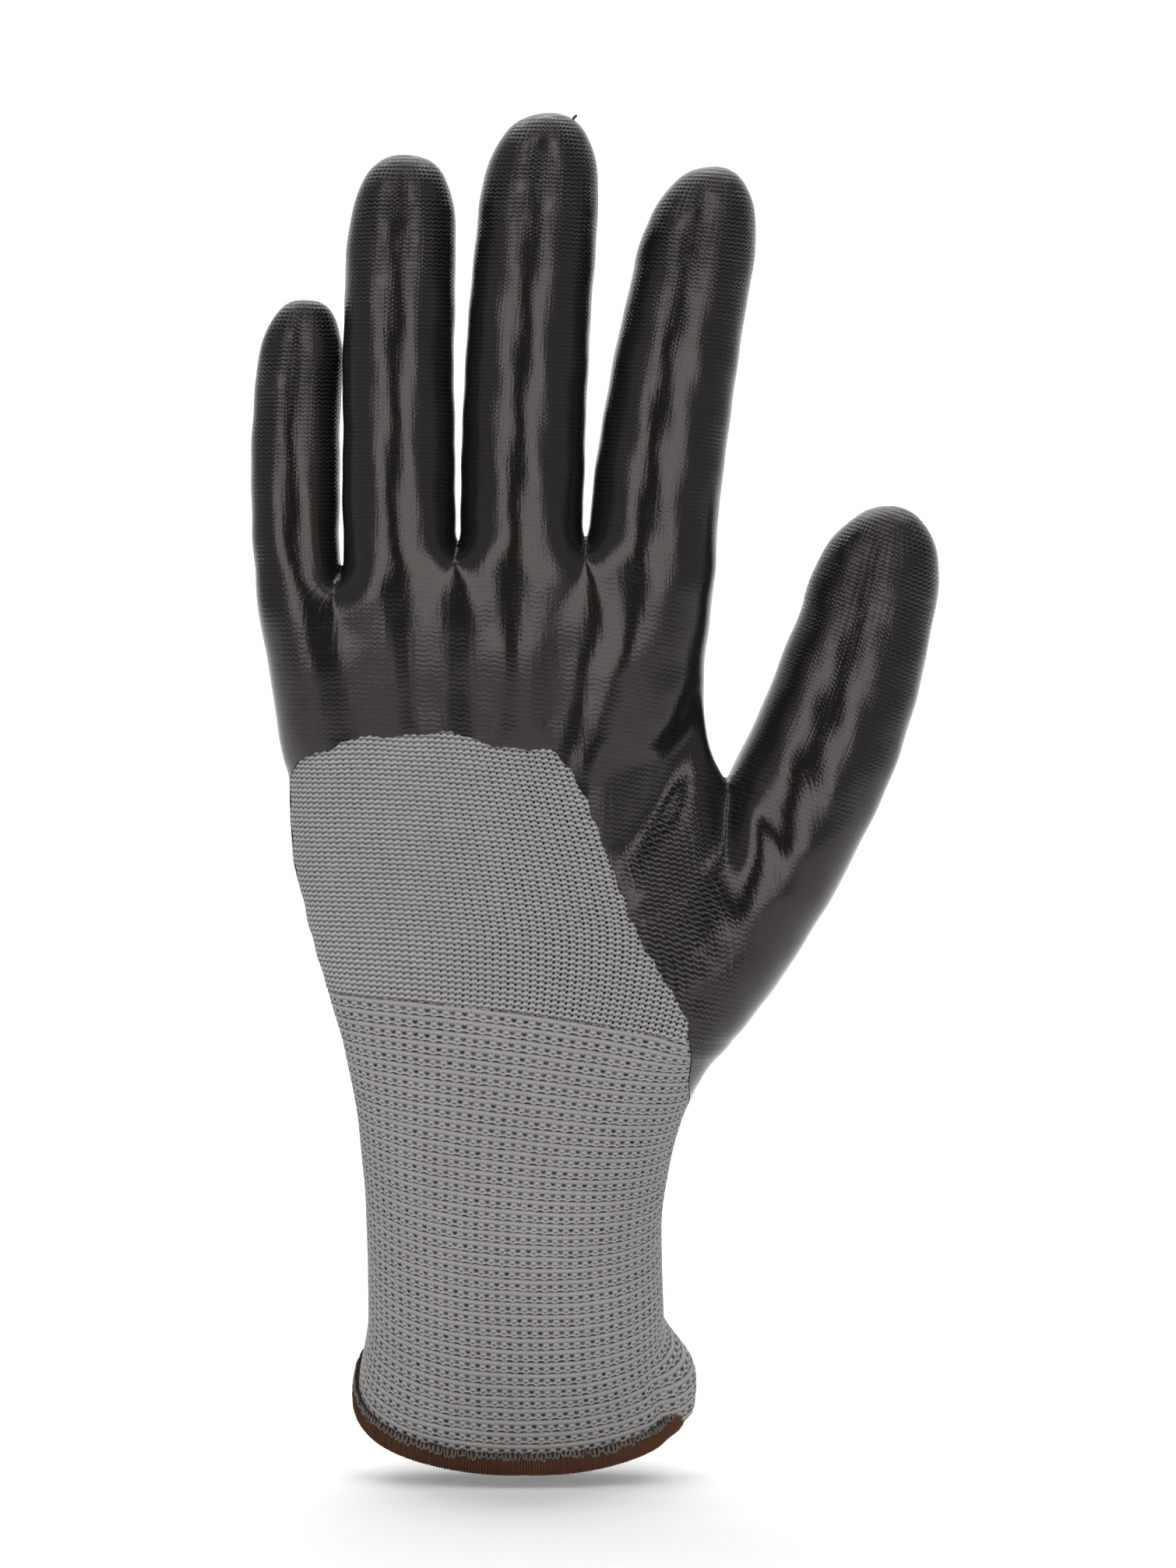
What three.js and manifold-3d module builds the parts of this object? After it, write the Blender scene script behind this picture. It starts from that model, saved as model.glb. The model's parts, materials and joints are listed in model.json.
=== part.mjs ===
// A left-hand dipped work glove, fingers up, back of the hand facing -Y.
// Millimetres. The shape is drawn in design coordinates and then moved so that the
// origin is the middle of the cuff's opening.
import * as THREE from 'three';
import { mergeVertices } from 'three/addons/utils/BufferGeometryUtils.js';
import Module from 'manifold-3d';

const wasm = await Module();
wasm.setup();

// --- driving dimensions -----------------------------------------------------
// How far each layer's outer and inner face lie inside the glove's outer surface.
const COAT = { outer: 0, inner: 0.5 };
const LINER = { outer: 0.8, inner: 1.8 };
const HEM = { outer: -0.3, inner: 1.9 };

const GAP = 0.35;          // between neighbouring pieces along the glove
const FINGER_SIDES = 12;
const THUMB_SIDES = 14;
const BODY_SIDES = 24;
const BODY_SQUARENESS = 2.3;  // superellipse exponent of the palm and cuff

// The wrist bends the cuff towards the palm side: y = WRIST_BEND * (WRIST_TOP - z)^2.
const WRIST_TOP = 100;
const WRIST_BEND = 0.00357;
const WRIST_BAND = { top: 65, bottom: 49 };
const COAT_BOTTOM = 67;
const HEM_TOP = 17.6;
const HEM_BOTTOM = 12.5;
const HEM_CENTRE_X = -13.2;

// Palm and wrist: height, left edge, right edge, half depth.
const PALM = [
  [60, -43.2, 14.2, 20.4],
  [65, -43.6, 15.6, 20.2],
  [72, -44.1, 18.9, 19.8],
  [80, -45.9, 25.0, 19.3],
  [90, -49.2, 32.0, 18.6],
  [100, -52.3, 34.0, 17.6],
  [112, -55.0, 32.0, 16.4],
  [124, -56.7, 27.0, 15.4],
  [136, -57.8, 21.5, 14.6],
  [150, -59.8, 19.6, 13.4],
  [162, -61.3, 20.6, 11.6],
  [174, -61.6, 21.4, 9.8],
];

// Cuff: the same, from the wrist down to the hem's lower edge.
const CUFF = [
  [HEM_BOTTOM, -44.9, 18.5, 22.6],
  [HEM_TOP, -44.7, 18.3, 22.5],
  [21, -43.6, 17.2, 22.0],
  [26, -42.8, 14.6, 21.4],
  [36, -42.6, 13.3, 20.9],
  [49, -42.6, 13.0, 20.5],
  [60, -43.2, 14.2, 20.4],
  [65, -43.6, 15.6, 20.2],
];

// The line that the palm is cut to between the fingers (x, z).
const WEB_LINE = [
  [-75, 160], [-47.5, 163.6], [-45.5, 163.8], [-36, 167], [-25, 169], [-2, 170], [40, 170],
];
const ABOVE_PALM = 200;

// Each finger: rows of height, centre x and half width from inside the palm to the tip's start,
// then the tip. y is where its middle lies at the root and curl how far the tip leans to the
// palm side. tilt is in degrees. The joints lie axisDepth below the palm side, at these heights.
const FINGERS = {
  index: {
    profile: [[140, 8.6, 10.4], [165, 9.9, 11.8], [182, 11.35, 11.9], [199, 13.75, 11.6], [216, 16.8, 11.25]],
    tip: { start: 221, height: 240, x: 21.2, power: 2.1 },
    y: 0.8, curl: 6.5, tilt: 4.85, axisDepth: 6.5, joints: [178.5, 197, 219],
  },
  middle: {
    profile: [[140, -14.6, 10.2], [165, -13.7, 11.3], [186, -13.25, 11.3], [207, -12.4, 11.2], [224, -11.1, 11.1]],
    tip: { start: 231, height: 250, x: -9, power: 2.3 },
    y: 0, curl: 7, tilt: 1.7, axisDepth: 6.5, joints: [178.5, 199.5, 224],
  },
  ring: {
    profile: [[140, -34.5, 9.6], [165, -35.8, 10.3], [186, -36.0, 10.3], [207, -36.0, 10.2], [219, -35.8, 10.2]],
    tip: { start: 223, height: 242, x: -34.8, power: 2.4 },
    y: 0.6, curl: 7, tilt: 0.75, axisDepth: 6.3, joints: [177.5, 196, 218],
  },
  little: {
    profile: [[140, -51.5, 6.6], [160, -54.2, 7.4], [182, -54.9, 7.8], [196, -54.8, 7.7]],
    tip: { start: 198, height: 215, x: -52.8, power: 2.4 },
    y: 3.4, curl: 6, tilt: 1, axisDepth: 5.2, joints: [170.5, 184.5, 200],
  },
};
const FINGER_ROUNDNESS = 0.92;  // half depth over half width
const CURL_START = 165;
const TIP_RADIUS = 0.3;         // of the small flat that ends a tip
const TIP_TRIM = 0.02;          // how far below the tip's height that flat lies

// Thumb: height, centre x, half width, half depth and centre y.
const THUMB = {
  profile: [
    [84, 14.5, 13.5, 14.0, 2.0],
    [92, 20.0, 15.0, 14.5, 2.0],
    [105, 27.0, 15.4, 14.4, 2.4],
    [118, 33.9, 15.4, 13.4, 3.6],
    [130, 39.7, 15.0, 12.4, 5.4],
    [139, 43.4, 14.3, 11.8, 7.0],
    [152, 47.9, 13.1, 10.9, 9.2],
    [160, 50.3, 12.3, 10.4, 10.4],
  ],
  tip: { start: 160, height: 178, x: 53.8, power: 2 },
  tilt: 20, axisDepth: 6.8, joints: [[42.6, 137], [48.9, 156]],
};

// How far each joint bends, in degrees. The wrist bends both ways.
const BEND = { root: 50, middle: 80, end: 48, thumbRoot: 40, thumbEnd: 60 };
const CLEAR = 1.5;         // degrees of extra room in each notch
const NOTCH_MARGIN = 3;    // how far a notch's slopes run on past the palm side
const SEGMENT_REACH = 22.5;  // sideways from a digit's joint, past its widest place
const SMOOTHING = 0.05;    // how far merging small facets may move a surface

// Upper edge of the bare knitted panel on the back of the hand (x, z).
const BARE_EDGE = [
  [-56.2, 118], [-54.8, 131.3], [-48, 133.4], [-40.8, 135.7], [-30, 136.4], [-19.7, 134.5],
  [-8.8, 133.4], [-4.1, 128.8], [0.6, 118], [4.3, 108.5], [8.2, 99.6], [14.3, 89.4], [17.7, 78.4], [17, 66],
];
const BARE_EDGE_STEPS = 20;
const BARE_LEFT = -75;     // past the little-finger side
const BARE_BOTTOM = 40;    // below the coating
const BARE_BACK_Y = 1;     // the panel on the back ends here
// The coating's edge round the little-finger side (y, z), and how far in from BARE_LEFT it holds.
const SIDE_EDGE = [[-40, 118], [0, 118], [9, 92], [17, 66]];
const SIDE_REACH = 42;

// --- materials --------------------------------------------------------------
function material(color, roughness) {
  return new THREE.MeshStandardMaterial({ color, roughness, metalness: 0 });
}

function coatMaterial() {
  return material(0x2b2929, 0.35);
}

function linerMaterial() {
  return material(0x969494, 0.9);
}

function hemMaterial() {
  return material(0x4d3022, 0.85);
}

// --- helpers ----------------------------------------------------------------
// The row of a table at a height, with every column interpolated.
function rowAt(table, z) {
  const last = table.length - 1;
  let i = 0;
  while (i < last - 1 && z > table[i + 1][0]) {
    i += 1;
  }
  const [low, high] = [table[i], table[i + 1]];
  const share = (z - low[0]) / (high[0] - low[0]);
  return low.map((value, n) => value + share * (high[n] - value));
}

function solidOf(geometry) {
  geometry.deleteAttribute('normal');
  geometry.deleteAttribute('uv');
  const merged = mergeVertices(geometry, 1e-5);
  const mesh = new wasm.Mesh({
    numProp: 3,
    vertProperties: new Float32Array(merged.attributes.position.array),
    triVerts: new Uint32Array(merged.index.array),
  });
  return new wasm.Manifold(mesh);
}

// A closed solid through a stack of rings, lowest first. Each ring is a superellipse
// whose palm side is raised by its tilt.
function loft(rings, sides, squareness) {
  const positions = [];
  const index = [];
  const bend = (value) => Math.sign(value) * Math.abs(value) ** (2 / squareness);
  for (const ring of rings) {
    for (let i = 0; i < sides; i += 1) {
      const turn = (2 * Math.PI * i) / sides;
      const across = ring.a * bend(Math.cos(turn));
      const through = ring.b * bend(Math.sin(turn));
      positions.push(ring.x + across);
      positions.push(ring.y + through * Math.cos(ring.tilt));
      positions.push(ring.z + through * Math.sin(ring.tilt));
    }
  }
  const ends = [rings[0], rings[rings.length - 1]];
  const firstEnd = rings.length * sides;
  ends.forEach((ring) => positions.push(ring.x, ring.y, ring.z));
  for (let i = 0; i < sides; i += 1) {
    const next = (i + 1) % sides;
    const top = (rings.length - 1) * sides;
    index.push(firstEnd, next, i);
    index.push(firstEnd + 1, top + i, top + next);
    for (let r = 0; r < rings.length - 1; r += 1) {
      const [low, high] = [r * sides, (r + 1) * sides];
      index.push(low + i, low + next, high + next);
      index.push(low + i, high + next, high + i);
    }
  }
  const geometry = new THREE.BufferGeometry();
  geometry.setAttribute('position', new THREE.Float32BufferAttribute(positions, 3));
  geometry.setIndex(index);
  return solidOf(geometry);
}

// A flat outline in a plane, extruded both ways along the plane's normal.
function prism(outline, origin, across, up, reach) {
  const shape = new THREE.Shape(outline.map(([u, v]) => new THREE.Vector2(u, v)));
  const geometry = new THREE.ExtrudeGeometry(shape, { depth: 2 * reach, bevelEnabled: false });
  geometry.translate(0, 0, -reach);
  const normal = new THREE.Vector3().crossVectors(across, up);
  const matrix = new THREE.Matrix4().makeBasis(across, up, normal).setPosition(origin);
  geometry.applyMatrix4(matrix);
  return solidOf(geometry);
}

const ORIGIN = new THREE.Vector3(0, 0, 0);
const ALONG_X = new THREE.Vector3(1, 0, 0);
const ALONG_Y = new THREE.Vector3(0, 1, 0);
const ALONG_Z = new THREE.Vector3(0, 0, 1);
const FAR = 90;            // past the glove on every side
const BACK = -FAR / 2;
const FRONT = FAR / 2;

function radians(degrees) {
  return (degrees * Math.PI) / 180;
}

// --- the glove's surfaces ---------------------------------------------------
function wristY(z) {
  return z < WRIST_TOP ? WRIST_BEND * (WRIST_TOP - z) ** 2 : 0;
}

function wristTilt(z) {
  return z < WRIST_TOP ? Math.atan(2 * WRIST_BEND * (WRIST_TOP - z)) : 0;
}

function bodyRing(table, z, inset) {
  const [, left, right, depth] = rowAt(table, z);
  return {
    x: (left + right) / 2,
    y: wristY(z),
    z,
    a: (right - left) / 2 - inset,
    b: depth - inset,
    tilt: wristTilt(z),
  };
}

// Palm or cuff between two heights, inset from the outer surface.
function bodyLoft(table, bottom, top, inset) {
  const heights = table.map((row) => row[0]).filter((z) => z > bottom + 1 && z < top - 1);
  const rings = [bottom, ...heights, top].map((z) => bodyRing(table, z, inset));
  return loft(rings, BODY_SIDES, BODY_SQUARENESS);
}

function fingerY(finger, z) {
  const rise = Math.max(0, z - CURL_START) / (finger.tip.height - CURL_START);
  return finger.y + finger.curl * rise ** 2;
}

function digitRing(digit, z, inset) {
  const { start, height, x, power } = digit.tip;
  const row = rowAt(digit.profile, Math.min(z, start));
  const share = Math.max(0, z - start) / (height - inset - start);
  const round = Math.max(0, 1 - share ** power) ** (1 / power);
  const isThumb = row.length > 3;
  const centre = z > start ? row[1] + (x - row[1]) * share : row[1];
  const depth = isThumb ? row[3] : row[2] * FINGER_ROUNDNESS;
  return {
    x: centre,
    y: isThumb ? row[4] : fingerY(digit, z),
    z,
    a: (row[2] - inset) * round,
    b: (depth - inset) * round,
    tilt: 0,
  };
}

const CAP_STEPS = [0.42, 0.7, 0.88, 0.975];

// A finger or thumb, closed at the tip.
function digitLoft(digit, inset) {
  const isThumb = digit === THUMB;
  const { start, height } = digit.tip;
  const heights = digit.profile.map((row) => row[0]).filter((z) => z < start - 1);
  const cap = CAP_STEPS.map((share) => start + share * (height - inset - start));
  const rings = [...heights, start, ...cap].map((z) => digitRing(digit, z, inset));
  const end = digitRing(digit, height - inset - TIP_TRIM, inset);
  const tip = { ...end, a: TIP_RADIUS, b: TIP_RADIUS };
  return loft([...rings, tip], isThumb ? THUMB_SIDES : FINGER_SIDES, 2);
}

// --- joints -----------------------------------------------------------------
// The direction along a digit, in the plane of the palm.
function alongDigit(digit) {
  const tilt = radians(digit.tilt);
  return new THREE.Vector3(Math.sin(tilt), 0, Math.cos(tilt));
}

// Where a digit's joint turns: near the palm-side surface, at the digit's middle.
function jointPoint(digit, joint) {
  const [x, z] = Array.isArray(joint) ? joint : [digitRing(digit, joint, 0).x, joint];
  const ring = digitRing(digit, z, 0);
  return new THREE.Vector3(x, ring.y + ring.b - digit.axisDepth, z);
}

// The edge of a segment at one of its hinges, seen along the hinge, from back to palm side.
// It is flat across the back and slopes away on the palm side, so that neighbouring segments
// don't meet when they bend. side is 1 for a segment above the hinge and -1 for one below.
function segmentEdge(digit, hinge, start, side) {
  const pivot = jointPoint(digit, hinge.joint).sub(start);
  const flat = pivot.dot(alongDigit(digit)) + side * (GAP / 2);
  const depth = digit.axisDepth + NOTCH_MARGIN;
  const slope = Math.tan(radians(hinge.bend / 2 + CLEAR));
  const end = flat + side * depth * slope;
  return [[BACK, flat], [pivot.y, flat], [pivot.y + depth, end], [FRONT, end]];
}

// The space that one segment of a digit fills, from the hinge below it to the hinge above.
function segmentPrism(digit, below, above) {
  const start = jointPoint(digit, (below ?? above).joint);
  const bottom = below ? segmentEdge(digit, below, start, 1) : [[BACK, -FAR], [FRONT, -FAR]];
  const top = above ? segmentEdge(digit, above, start, -1) : [[BACK, FAR], [FRONT, FAR]];
  return prism([...bottom, ...top.reverse()], start, ALONG_Y, alongDigit(digit), SEGMENT_REACH);
}

function jointsOf(digit) {
  const bends = digit === THUMB
    ? [BEND.thumbRoot, BEND.thumbEnd]
    : [BEND.root, BEND.middle, BEND.end];
  return digit.joints.map((joint, n) => ({ joint, bend: bends[n] }));
}

// --- the hand ---------------------------------------------------------------
// Palm, finger stubs and thumb stub as one solid, inset from the outer surface.
function handSolid(inset, bottom, trimmed) {
  const line = WEB_LINE.map(([x, z]) => [x, z - inset]);
  const [left, right] = [line[0][0], line[line.length - 1][0]];
  const above = [[right, ABOVE_PALM], [left, ABOVE_PALM]];
  const web = prism([...line, ...above], ORIGIN, ALONG_X, ALONG_Z, FAR);
  let solid = bodyLoft(PALM, bottom, PALM[PALM.length - 1][0], inset).subtract(web);
  for (const digit of [...Object.values(FINGERS), THUMB]) {
    const stub = digitLoft(digit, inset);
    const cut = trimmed ? stub.intersect(segmentPrism(digit, null, jointsOf(digit)[0])) : stub;
    solid = solid.add(cut);
  }
  return solid;
}

function handShell(layer, bottom) {
  return handSolid(layer.outer, bottom, true).subtract(handSolid(layer.inner, bottom - 3, false));
}

// The part of the hand that the dip leaves bare.
function bareRegion() {
  const curve = new THREE.SplineCurve(BARE_EDGE.map(([x, z]) => new THREE.Vector2(x, z)));
  const edge = curve.getPoints(BARE_EDGE_STEPS).map((point) => [point.x, point.y]);
  const bottomRight = [BARE_EDGE[BARE_EDGE.length - 1][0], BARE_BOTTOM];
  const panel = [[BARE_LEFT, BARE_EDGE[0][1]], ...edge, bottomRight, [BARE_LEFT, BARE_BOTTOM]];
  const behind = new THREE.Vector3(0, BARE_BACK_Y - FAR, 0);
  const back = prism(panel, behind, ALONG_X, ALONG_Z, FAR);
  const [sideFront, sideBack] = [SIDE_EDGE[SIDE_EDGE.length - 1][0], SIDE_EDGE[0][0]];
  const round = [...SIDE_EDGE, [sideFront, BARE_BOTTOM], [sideBack, BARE_BOTTOM]];
  const side = prism(round, new THREE.Vector3(BARE_LEFT, 0, 0), ALONG_Y, ALONG_Z, SIDE_REACH);
  return back.add(side);
}

// --- sub-parts --------------------------------------------------------------
function mesh(name, solid, finish) {
  const made = solid.simplify(SMOOTHING).getMesh();
  const geometry = new THREE.BufferGeometry();
  geometry.setAttribute('position', new THREE.Float32BufferAttribute(made.vertProperties, 3));
  geometry.setIndex(new THREE.Uint32BufferAttribute(made.triVerts, 1));
  geometry.translate(-HEM_CENTRE_X, -wristY(HEM_BOTTOM), -HEM_BOTTOM);
  geometry.computeVertexNormals();
  const part = new THREE.Mesh(geometry, finish);
  part.name = name;
  return part;
}

function handLiner() {
  return mesh('liner_hand', handShell(LINER, WRIST_BAND.top), linerMaterial());
}

function handCoat() {
  return mesh('coat_hand', handShell(COAT, COAT_BOTTOM).subtract(bareRegion()), coatMaterial());
}

function tube(layer, bottom, top) {
  return bodyLoft(CUFF, bottom, top, layer.outer).subtract(bodyLoft(CUFF, bottom - 2, top + 2, layer.inner));
}

function wristBand() {
  return mesh('liner_wrist', tube(LINER, WRIST_BAND.bottom, WRIST_BAND.top - GAP), linerMaterial());
}

function cuffLiner() {
  return mesh('liner_cuff', tube(LINER, HEM_TOP + GAP, WRIST_BAND.bottom - GAP), linerMaterial());
}

function hemBinding() {
  return mesh('hem_binding', tube(HEM, HEM_BOTTOM, HEM_TOP), hemMaterial());
}

// The liner and coating of each segment of one finger or thumb.
function digitParts(name, digit) {
  const joints = jointsOf(digit);
  const segments = joints.length === 3 ? ['proximal', 'middle', 'distal'] : ['proximal', 'distal'];
  const layers = [['liner', LINER, linerMaterial], ['coat', COAT, coatMaterial]];
  const parts = [];
  for (const [prefix, layer, finish] of layers) {
    const shell = digitLoft(digit, layer.outer).subtract(digitLoft(digit, layer.inner));
    segments.forEach((segment, n) => {
      const piece = shell.intersect(segmentPrism(digit, joints[n], joints[n + 1]));
      parts.push(mesh(`${prefix}_${name}_${segment}`, piece, finish()));
    });
  }
  return parts;
}

const glove = new THREE.Group();
glove.add(handLiner(), handCoat(), wristBand(), cuffLiner(), hemBinding());
for (const [name, finger] of Object.entries(FINGERS)) {
  glove.add(...digitParts(name, finger));
}
glove.add(...digitParts('thumb', THUMB));

export default glove;
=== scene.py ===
import json
import math

import bpy
import numpy as np
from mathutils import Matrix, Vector

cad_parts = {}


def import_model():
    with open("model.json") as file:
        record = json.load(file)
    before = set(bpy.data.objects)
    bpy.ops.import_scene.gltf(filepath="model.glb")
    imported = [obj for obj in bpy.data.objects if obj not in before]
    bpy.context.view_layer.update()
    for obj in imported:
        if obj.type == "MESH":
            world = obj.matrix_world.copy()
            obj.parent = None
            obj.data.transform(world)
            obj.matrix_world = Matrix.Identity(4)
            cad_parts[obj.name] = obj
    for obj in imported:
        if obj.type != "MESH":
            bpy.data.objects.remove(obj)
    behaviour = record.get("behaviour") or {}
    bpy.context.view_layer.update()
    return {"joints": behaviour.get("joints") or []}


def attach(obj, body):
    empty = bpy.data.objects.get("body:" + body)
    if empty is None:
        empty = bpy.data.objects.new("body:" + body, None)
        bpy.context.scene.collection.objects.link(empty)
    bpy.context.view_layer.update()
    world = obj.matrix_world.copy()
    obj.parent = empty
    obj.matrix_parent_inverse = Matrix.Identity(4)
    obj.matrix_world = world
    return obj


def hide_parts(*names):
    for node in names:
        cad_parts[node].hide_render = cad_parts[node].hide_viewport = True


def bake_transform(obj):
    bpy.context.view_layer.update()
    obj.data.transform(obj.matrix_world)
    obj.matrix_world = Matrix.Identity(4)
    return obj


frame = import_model()
TURN = 2 * math.pi

# A dipped work glove for a left hand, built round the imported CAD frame. Its surface is a
# distance field in design millimetres: x towards the thumb, y out of the palm, z towards the
# fingertips. One shift takes those to the frame's metres.

# --- the frame's joints, and the shift from design millimetres ----------------
JOINTS = {j["name"]: j for j in frame["joints"]}
WRIST_DESIGN = np.array([-14.5, 6.601, 57.0])
SHIFT = np.array(JOINTS["wrist"]["pos_m"]) * 1000 - WRIST_DESIGN


def to_frame(points):
    """Design millimetres to the frame's metres."""
    return (np.asarray(points, float) + SHIFT) / 1000


def joint_point(name):
    """A joint's place in design millimetres."""
    return np.array(JOINTS[name]["pos_m"]) * 1000 - SHIFT


def joint_up(name):
    """The direction along the digit, square to its hinge and to the palm's normal."""
    axis = JOINTS[name]["axis"]
    return np.array([axis[2], 0.0, -axis[0]])


# --- camera -------------------------------------------------------------------
VIEW_CENTRE = to_frame([-1.35, 0.0, 127.0])
VIEW_DISTANCE = 1.05
VIEW_HEIGHT = 0.28706          # what the frame shows at the glove, in metres
VIEW_ELEVATION = math.radians(1.5)
SENSOR = 36.0

cam_data = bpy.data.cameras.new("camera")
cam = bpy.data.objects.new("camera", cam_data)
bpy.context.scene.collection.objects.link(cam)
bpy.context.scene.camera = cam
cam_data.sensor_width = SENSOR
cam_data.lens = SENSOR * VIEW_DISTANCE / VIEW_HEIGHT
away = Vector((0, -math.cos(VIEW_ELEVATION), math.sin(VIEW_ELEVATION)))
cam.location = Vector(VIEW_CENTRE) + away * VIEW_DISTANCE
cam.rotation_euler = (-away).to_track_quat("-Z", "Y").to_euler()
cam_data.clip_start = 0.01
cam_data.clip_end = 20.0

# --- the glove's outline, in design millimetres -------------------------------
# Body from the hem to the knuckles: height, left edge, right edge, back, palm side. The last
# two are measured from the middle of the leaning ring.
BODY = [
    (10.5, -45.3, 17.2, -22.6, 22.6), (14.5, -45.1, 16.8, -22.4, 22.4),
    (18, -44.1, 15.6, -22.0, 22.0), (22, -43.4, 14.2, -21.7, 21.7),
    (26, -42.9, 13.4, -21.4, 21.4), (31, -42.8, 13.2, -21.1, 21.1),
    (37, -42.9, 13.1, -20.9, 20.9), (46, -42.9, 12.7, -20.6, 20.6),
    (53, -43.3, 13.3, -20.5, 20.5), (60, -43.8, 14.6, -20.4, 20.4),
    (66, -44.4, 16.2, -20.1, 20.2), (72, -45.3, 18.8, -19.4, 19.9),
    (80, -47.0, 22.5, -18.2, 19.4), (90, -49.9, 28.5, -16.2, 18.4),
    (100, -52.9, 32.0, -14.0, 17.2), (112, -55.7, 30.5, -12.0, 16.0),
    (124, -56.5, 25.5, -11.1, 14.8), (136, -56.6, 19.6, -10.9, 13.6),
    (150, -57.9, 17.6, -10.9, 12.0), (162, -60.0, 19.0, -10.3, 10.2),
    (176, -61.4, 20.8, -9.0, 8.4),
]
HEM_BOTTOM = 10.5
HEM_TOP = 13.8
WRIST_TOP = 100.0
WRIST_BEND = 0.00357          # the cuff leans to the palm side by this times (top - z) squared
ROLL = 0.05                   # the cuff's rows fall towards the thumb, most at mid height
ROLL_MIDDLE = -14.0           # x about which they turn
SQUARENESS = 2.3
WEB = [(-75, 159.0), (-48, 162.2), (-45, 162.6), (-36, 165.6), (-25, 167.6), (-13, 168.6),
       (-2, 168.8), (40, 168.8)]
THICKNESS = 1.6               # of the knit, with its coating

# Digits: height, centre x, half width, half depth, centre y; then the tip's start, height,
# x and bluntness.
DIGITS = {
    "index": dict(rows=[(136, 8.2, 9.2, 9.8, -0.4), (150, 8.9, 10.5, 10.6, -1.2),
                        (165, 9.7, 11.5, 10.8, -1.2), (182, 11.35, 11.95, 10.9, -0.2),
                        (199, 13.75, 11.7, 10.7, 2.0), (216, 16.8, 11.25, 10.3, 4.7),
                        (224, 18.5, 10.9, 10.0, 6.0)],
                  tip=(222, 240.2, 21.4, 2.15), wales=52),
    "middle": dict(rows=[(136, -14.2, 9.4, 9.8, -0.4), (150, -14.0, 10.6, 10.6, -1.4),
                         (165, -13.6, 11.1, 10.7, -1.5), (186, -13.25, 11.35, 10.6, -0.4),
                         (207, -12.45, 11.3, 10.4, 1.8), (224, -11.15, 11.2, 10.2, 4.2),
                         (233, -10.4, 11.0, 10.0, 5.6)],
                   tip=(230.5, 250.0, -8.8, 2.35), wales=51),
    "ring": dict(rows=[(136, -34.6, 8.8, 9.2, 0.4), (150, -35.3, 9.8, 9.8, -0.4),
                       (165, -35.75, 10.4, 9.9, -0.7), (186, -35.9, 10.3, 9.7, 0.3),
                       (207, -36.0, 10.2, 9.5, 2.8), (219, -35.8, 10.25, 9.4, 4.6),
                       (226, -35.5, 10.1, 9.3, 5.8)],
                 tip=(222.5, 242.4, -34.8, 2.45), wales=46),
    "little": dict(rows=[(134, -49.8, 6.2, 7.6, 2.2), (150, -52.1, 7.0, 8.0, 1.4),
                         (160, -53.7, 7.6, 7.8, 1.9), (172, -55.05, 8.15, 7.7, 3.7),
                         (186, -55.15, 8.2, 7.5, 5.9), (196, -55.0, 8.15, 7.3, 7.5),
                         (202, -54.7, 8.0, 7.2, 8.3)],
                   tip=(198, 216.0, -53.3, 2.6), wales=36),
    "thumb": dict(rows=[(80, 11.0, 13.0, 13.0, 1.5), (92, 20.0, 14.7, 14.0, 1.5),
                        (105, 27.5, 15.4, 14.0, 2.0), (118, 34.5, 15.4, 13.2, 3.2),
                        (130, 40.3, 15.0, 12.4, 5.0), (139, 44.0, 14.3, 11.8, 6.8),
                        (152, 48.4, 13.1, 11.0, 9.2), (160, 50.7, 12.3, 10.4, 10.6),
                        (166, 52.1, 11.8, 10.0, 11.4)],
                  tip=(160, 178.2, 54.2, 2.05), wales=56),
}
FINGERS = ("index", "middle", "ring", "little")
PALM_BLEND = 6.5              # how widely a finger's root runs into the palm
TOP_BLEND = 6.0               # and how rounded the palm's top edge is
THUMB_SLOPE = 0.92            # keeps the thumb's distances true where it tapers

# Each digit's joints, the bodies either side, and two distances along the digit from the joint; the
# coating is cut at the first.
BENDS = {
    "index": [("root", "hand", "index_proximal", -8.0, 8.0),
              ("bend", "index_proximal", "index_middle", -10.0, 11.0),
              ("end", "index_middle", "index_distal", -9.0, 9.0)],
    "middle": [("root", "hand", "middle_proximal", -8.0, 8.0),
               ("bend", "middle_proximal", "middle_middle", -11.5, 11.5),
               ("end", "middle_middle", "middle_distal", -10.0, 10.0)],
    "ring": [("root", "hand", "ring_proximal", -8.0, 7.0),
             ("bend", "ring_proximal", "ring_middle", -10.5, 10.5),
             ("end", "ring_middle", "ring_distal", -10.0, 10.0)],
    "little": [("root", "hand", "little_proximal", -6.3, 5.5),
               ("bend", "little_proximal", "little_middle", -7.5, 8.0),
               ("end", "little_middle", "little_distal", -7.0, 7.0)],
    "thumb": [("root", "hand", "thumb_proximal", -9.0, 8.0),
              ("end", "thumb_proximal", "thumb_distal", -9.0, 9.0)],
}
WRIST_ZONE = (45.5, 67.5)     # body heights between which the wrist's knit and lining lie

# Upper edge of the bare panel on the back of the hand (x, z).
BARE_EDGE = [
    (-56.6, 117), (-55.9, 124), (-54.8, 131.2), (-48, 133.4), (-46.4, 134.7), (-40.8, 135.8),
    (-35, 136.3), (-24, 136.1), (-19.7, 134.7), (-12, 133.4), (-8.8, 133.2), (-6.4, 131.6),
    (-2.8, 126), (0.6, 118), (4.3, 108.5), (8.2, 99.6), (11, 94.8), (14.3, 89.4), (17, 84),
    (17.9, 77), (17.6, 71), (17, 66),
]
COAT_BOTTOM = 66.5            # body height of the coating's edge on the palm side
BARE_DEPTH = 1.5              # y to which the bare panel reaches round the hand's sides
SIDE_SLOPE = 0.6              # turns a height below the side's edge into a distance
SIDE_EDGE = [(-6, 119), (0, 117), (5, 104), (10, 88), (14.5, 74), (18, 66)]

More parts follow.
